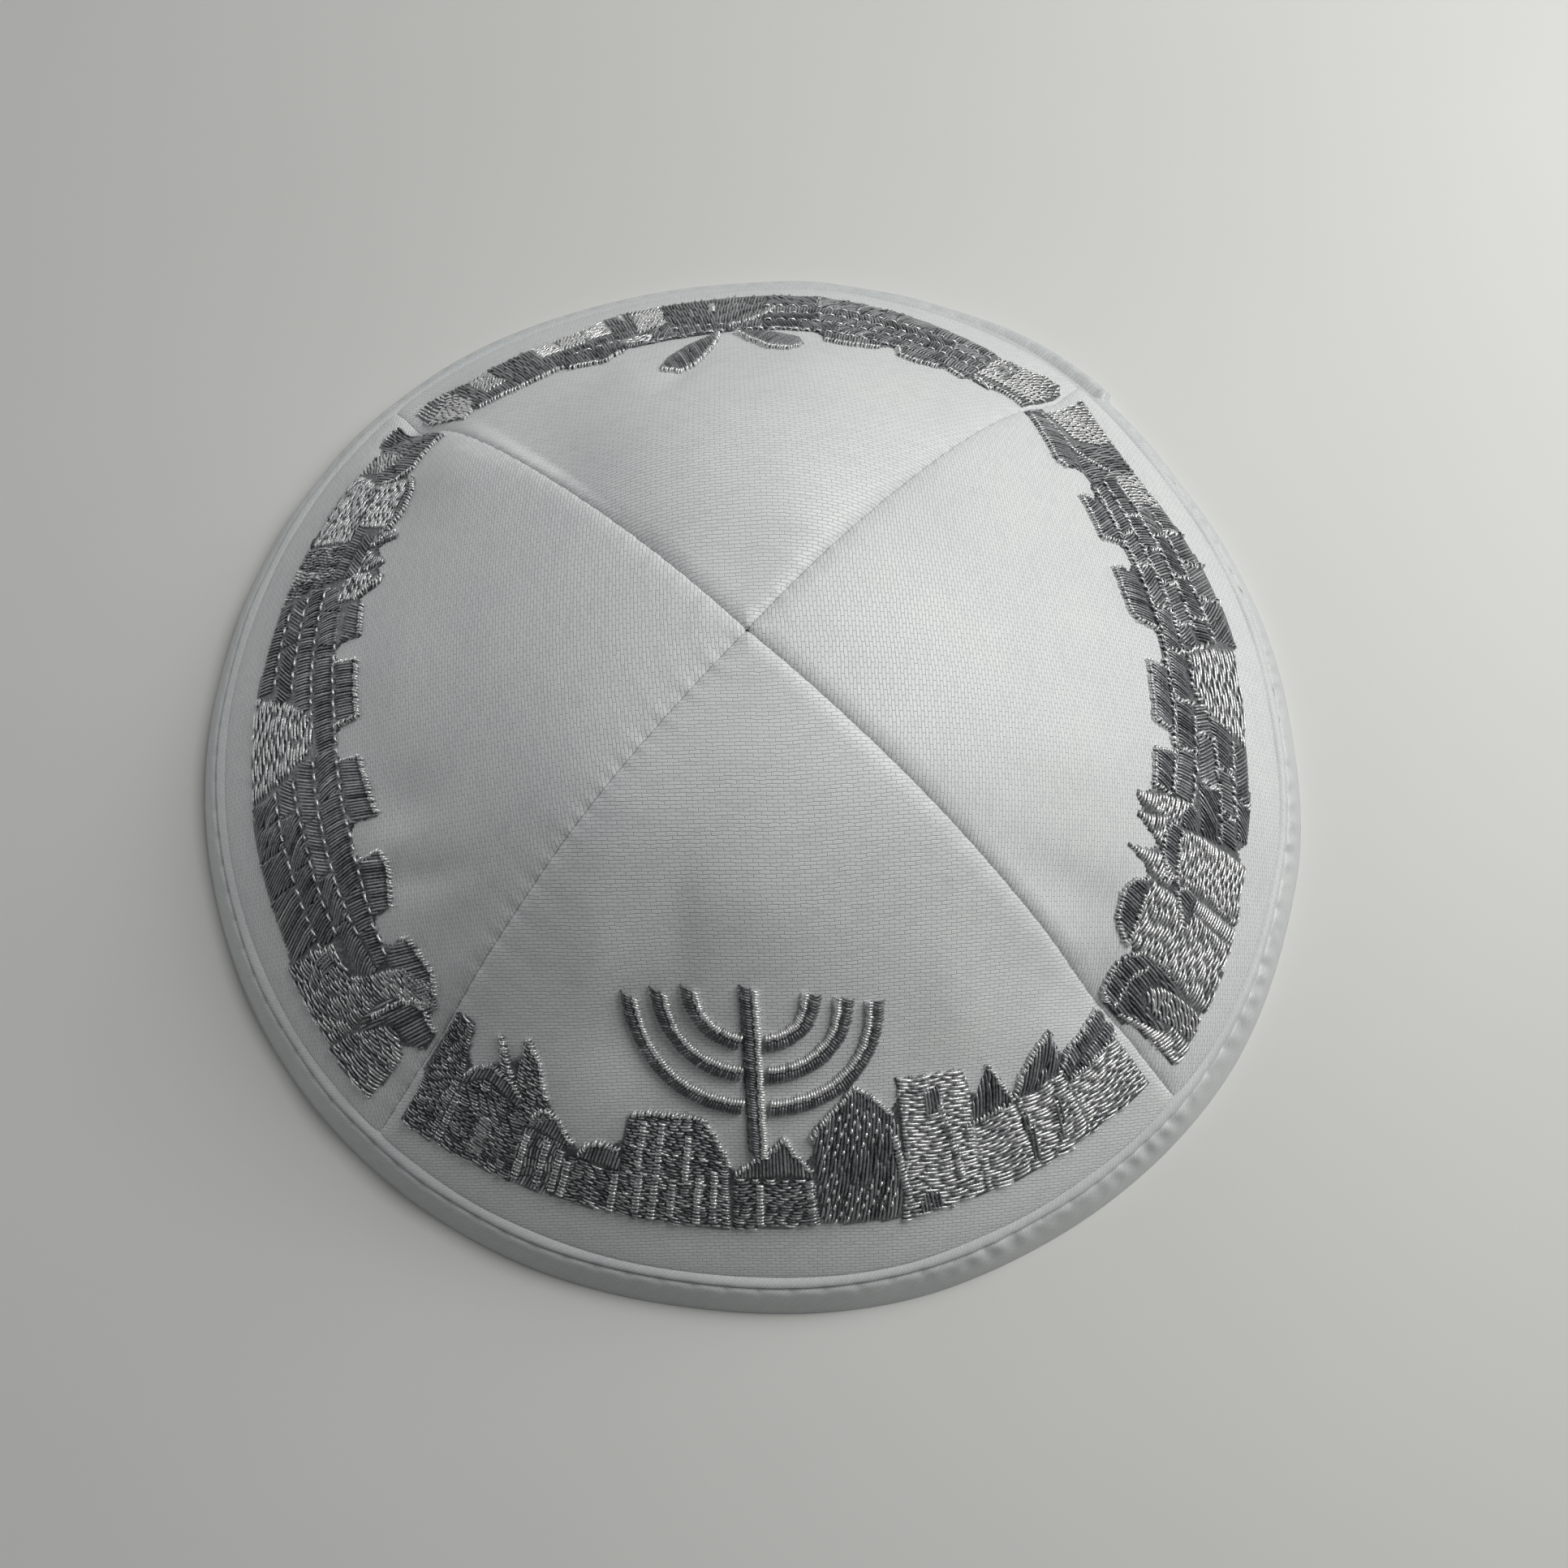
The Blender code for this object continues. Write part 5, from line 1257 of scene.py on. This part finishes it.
def satinColumn(centres, ways, width, paintedShadeTone):
    # stitches slanting over a stroke, a little longer and shorter by turns, each with a painted shade on
    # its half away from the light and a painted highlight on the half that faces it
    stitches = []
    thread, lift, rise = menorah["thread"], menorah["lift"], menorah["rise"]
    for spot, way in zip(centres, ways):
        side = np.array([-way[1], way[0]])
        over = side + menorah["lean"] * way
        a = spot - over * (0.5 * width + rng.uniform(*menorah["starts"]))
        b = spot + over * (0.5 * width + rng.uniform(*menorah["ends"]))
        split = spot + over * width * rng.uniform(*menorah["split"])
        # the half away from the light: a painted shade
        tone = paintedShadeTone + rng.normal(0.0, menorah["spread"])
        stitches.append((*a, *split, thread, lift, rise, tone, tone + menorah["paintedShadeGain"]))
        # the half that faces the light: a painted highlight
        glint = menorah["paintedHighlight"] + rng.normal(0.0, menorah["paintedHighlightSpread"])
        stitches.append((*(split - over * menorah["overlap"]), *b, thread, lift + menorah["litRise"], rise,
                         glint - menorah["paintedHighlightLoss"], glint))
    return stitches


def sewStroke(name, node, stitches, gore="front", realWidth=True, drop=0.0):
    points, faces, tone, marks = threadTubes(gore, stitches, realWidth, drop)
    return addPiece(name, points, faces, lurex, node, tone=tone, marks=marks)


def stemStitches():
    heights = np.arange(menorah["stemLow"], menorah["stemHigh"], menorah["pitch"])
    centres = np.stack([menorah["stemSide"] + 0.0 * heights, heights], 1)
    ways = np.tile([0.0, -1.0], (len(heights), 1))
    return satinColumn(centres, ways, menorah["stemWidth"], menorah["stemPaintedShade"])


def armStitches(reach, joint, top, sign):
    turns = np.linspace(math.asin(0.5 * menorah["stemWidth"] / reach), 0.5 * math.pi, 400)
    out, fall = np.sin(turns) ** menorah["fullness"], np.cos(turns).clip(0.0) ** menorah["fullness"]
    path = np.stack([menorah["stemSide"] + sign * reach * out, joint + (top - joint) * (1 - fall)], 1)
    travelled = np.linalg.norm(np.diff(path, axis=0), axis=1)
    travelled = np.concatenate([[0.0], np.cumsum(travelled)])
    at = np.arange(0.1, travelled[-1], menorah["pitch"])
    centres = np.stack([np.interp(at, travelled, path[:, axis]) for axis in (0, 1)], 1)
    ways = np.gradient(centres, axis=0)
    ways /= np.linalg.norm(ways, axis=1, keepdims=True) * sign
    return satinColumn(centres, ways, menorah["armWidth"], menorah["armPaintedShade"])


strokes = [sewStroke("menorah_stem_satin_stitch", "menorah_stem", stemStitches())]
for armName, arm in menorah["arms"].items():
    for hand, sign in (("left", -1.0), ("right", 1.0)):
        strokes.append(sewStroke(f"menorah_{hand}_{armName}_arm_satin_stitch",
                                 f"menorah_arm_{hand}_{armName}", armStitches(*arm, sign)))
print("menorah sewn")


# two palm fronds behind the back wall
fronds = {
    "left": {
        "outline": [(.0, 25.6), (-.05, 29.6), (-.118, 33.2), (-.187, 34), (-.24, 31.6), (-.215, 28.4),
                    (-.118, 26.3)],
        "edge": [(-.0, 26.2), (-.05, 29.8), (-.118, 33.4), (-.187, 34.2), (-.235, 32)], "angle": 60,
    },
    "right": {
        "outline": [(.058, 25.2), (.07, 29), (.104, 33), (.158, 36.8), (.22, 38.6), (.298, 37.2),
                    (.252, 32.8), (.156, 28.4)],
        "edge": [(.06, 26), (.07, 29.2), (.104, 33.2), (.158, 37), (.22, 38.8), (.294, 37.6)],
        "angle": 100,
    },
}
for hand, frond in fronds.items():
    stitches = []
    fill(stitches, "dark", frond["angle"], frond["outline"])
    edge(stitches, frond["edge"])
    strokes.append(sewStroke(f"palm_frond_{hand}_satin_stitch", f"palm_frond_{hand}", stitches, "back",
                             realWidth=False, drop=backPicture["drop"]))
print("fronds sewn")


# the table's top: pale laminate pressed matt, so it gives a soft, even ground. Lengths in mm
table = {"reach": 2000.0, "sink": 0.02, "cloudsPerMm": 0.014, "tint": [(0.3, "E9E9E6"), (0.7, "ECECE9")]}


def tableTop():
    material, tree, shader = newMaterial("pale matt laminate")
    place = addNode(tree, "TexCoord").outputs["Object"]
    cloud = addNode(tree, "TexNoise", {}, {
        "Vector": place, "Scale": table["cloudsPerMm"] / mm, "Detail": 4.0})
    colour = addNode(tree, "ValToRGB", {"ramp": table["tint"]}, {"Fac": cloud.outputs["Fac"]})
    tree.links.new(colour.outputs["Color"], shader.inputs["Base Color"])
    shader.inputs["Roughness"].default_value = 0.55
    reach = table["reach"] * mm
    corners = [(-reach, -reach, 0), (reach, -reach, 0), (reach, reach, 0), (-reach, reach, 0)]
    mesh = bpy.data.meshes.new("table_top")
    mesh.from_pydata(corners, [], [(0, 1, 2, 3)])
    mesh.materials.append(material)
    floor = bpy.data.objects.new("table_top", mesh)
    floor.location.z = -table["sink"] * mm
    bpy.context.scene.collection.objects.link(floor)


tableTop()

# light: a broad soft window high on the right and behind, a pale wall low on the left, grey room light
lights = {
    "window": {"at": (0.345, 0.19, 0.43), "size": 0.40, "power": 2.5, "colour": "FFFFFD"},
    "pale wall": {"at": (-0.78, 0.24, 0.26), "size": 0.6, "power": 1.1, "colour": "FBFDFF"},
}
for name, look in lights.items():
    lamp = bpy.data.lights.new(name, "AREA")
    lamp.shape = "SQUARE"
    lamp.size = look["size"]
    lamp.energy = look["power"]
    lamp.color = linear(look["colour"])[:3]
    holder = bpy.data.objects.new(name, lamp)
    holder.location = look["at"]
    holder.rotation_euler = Vector(look["at"]).to_track_quat("Z", "Y").to_euler()
    bpy.context.scene.collection.objects.link(holder)
world = bpy.data.worlds.new("grey room")
world.use_nodes = True
room = world.node_tree.nodes["Background"]
room.inputs["Color"].default_value = linear("F4F6F6")
room.inputs["Strength"].default_value = 0.075
bpy.context.scene.world = world
bpy.context.scene.view_settings.view_transform = "Standard"

# camera: close above the cap, looking steeply down from the menorah's side. Its tilt and roll are in
# degrees, its film's width in mm and its focal length a share of that
eye = {"at": (0.0048, -0.08245, 0.21454), "down": 70.604, "roll": 0.2252, "focal": 1935.0 / 1932.0,
       "film": 36.0}
down, roll = math.radians(eye["down"]), math.radians(eye["roll"])
forward = Vector((0.0, math.cos(down), -math.sin(down)))
right = Vector((1.0, 0.0, 0.0))
upward = right.cross(forward)
turnedRight = math.cos(roll) * right + math.sin(roll) * upward
turnedUp = -math.sin(roll) * right + math.cos(roll) * upward
camera = bpy.data.cameras.new("camera")
camera.sensor_width = eye["film"]
camera.lens = eye["film"] * eye["focal"]
camera.clip_start = 0.01
cameraHolder = bpy.data.objects.new("camera", camera)
axes = Matrix((turnedRight, turnedUp, -forward)).transposed()
cameraHolder.matrix_world = Matrix.Translation(eye["at"]) @ axes.to_4x4()
bpy.context.scene.collection.objects.link(cameraHolder)
bpy.context.scene.camera = cameraHolder
print("camera and light set")
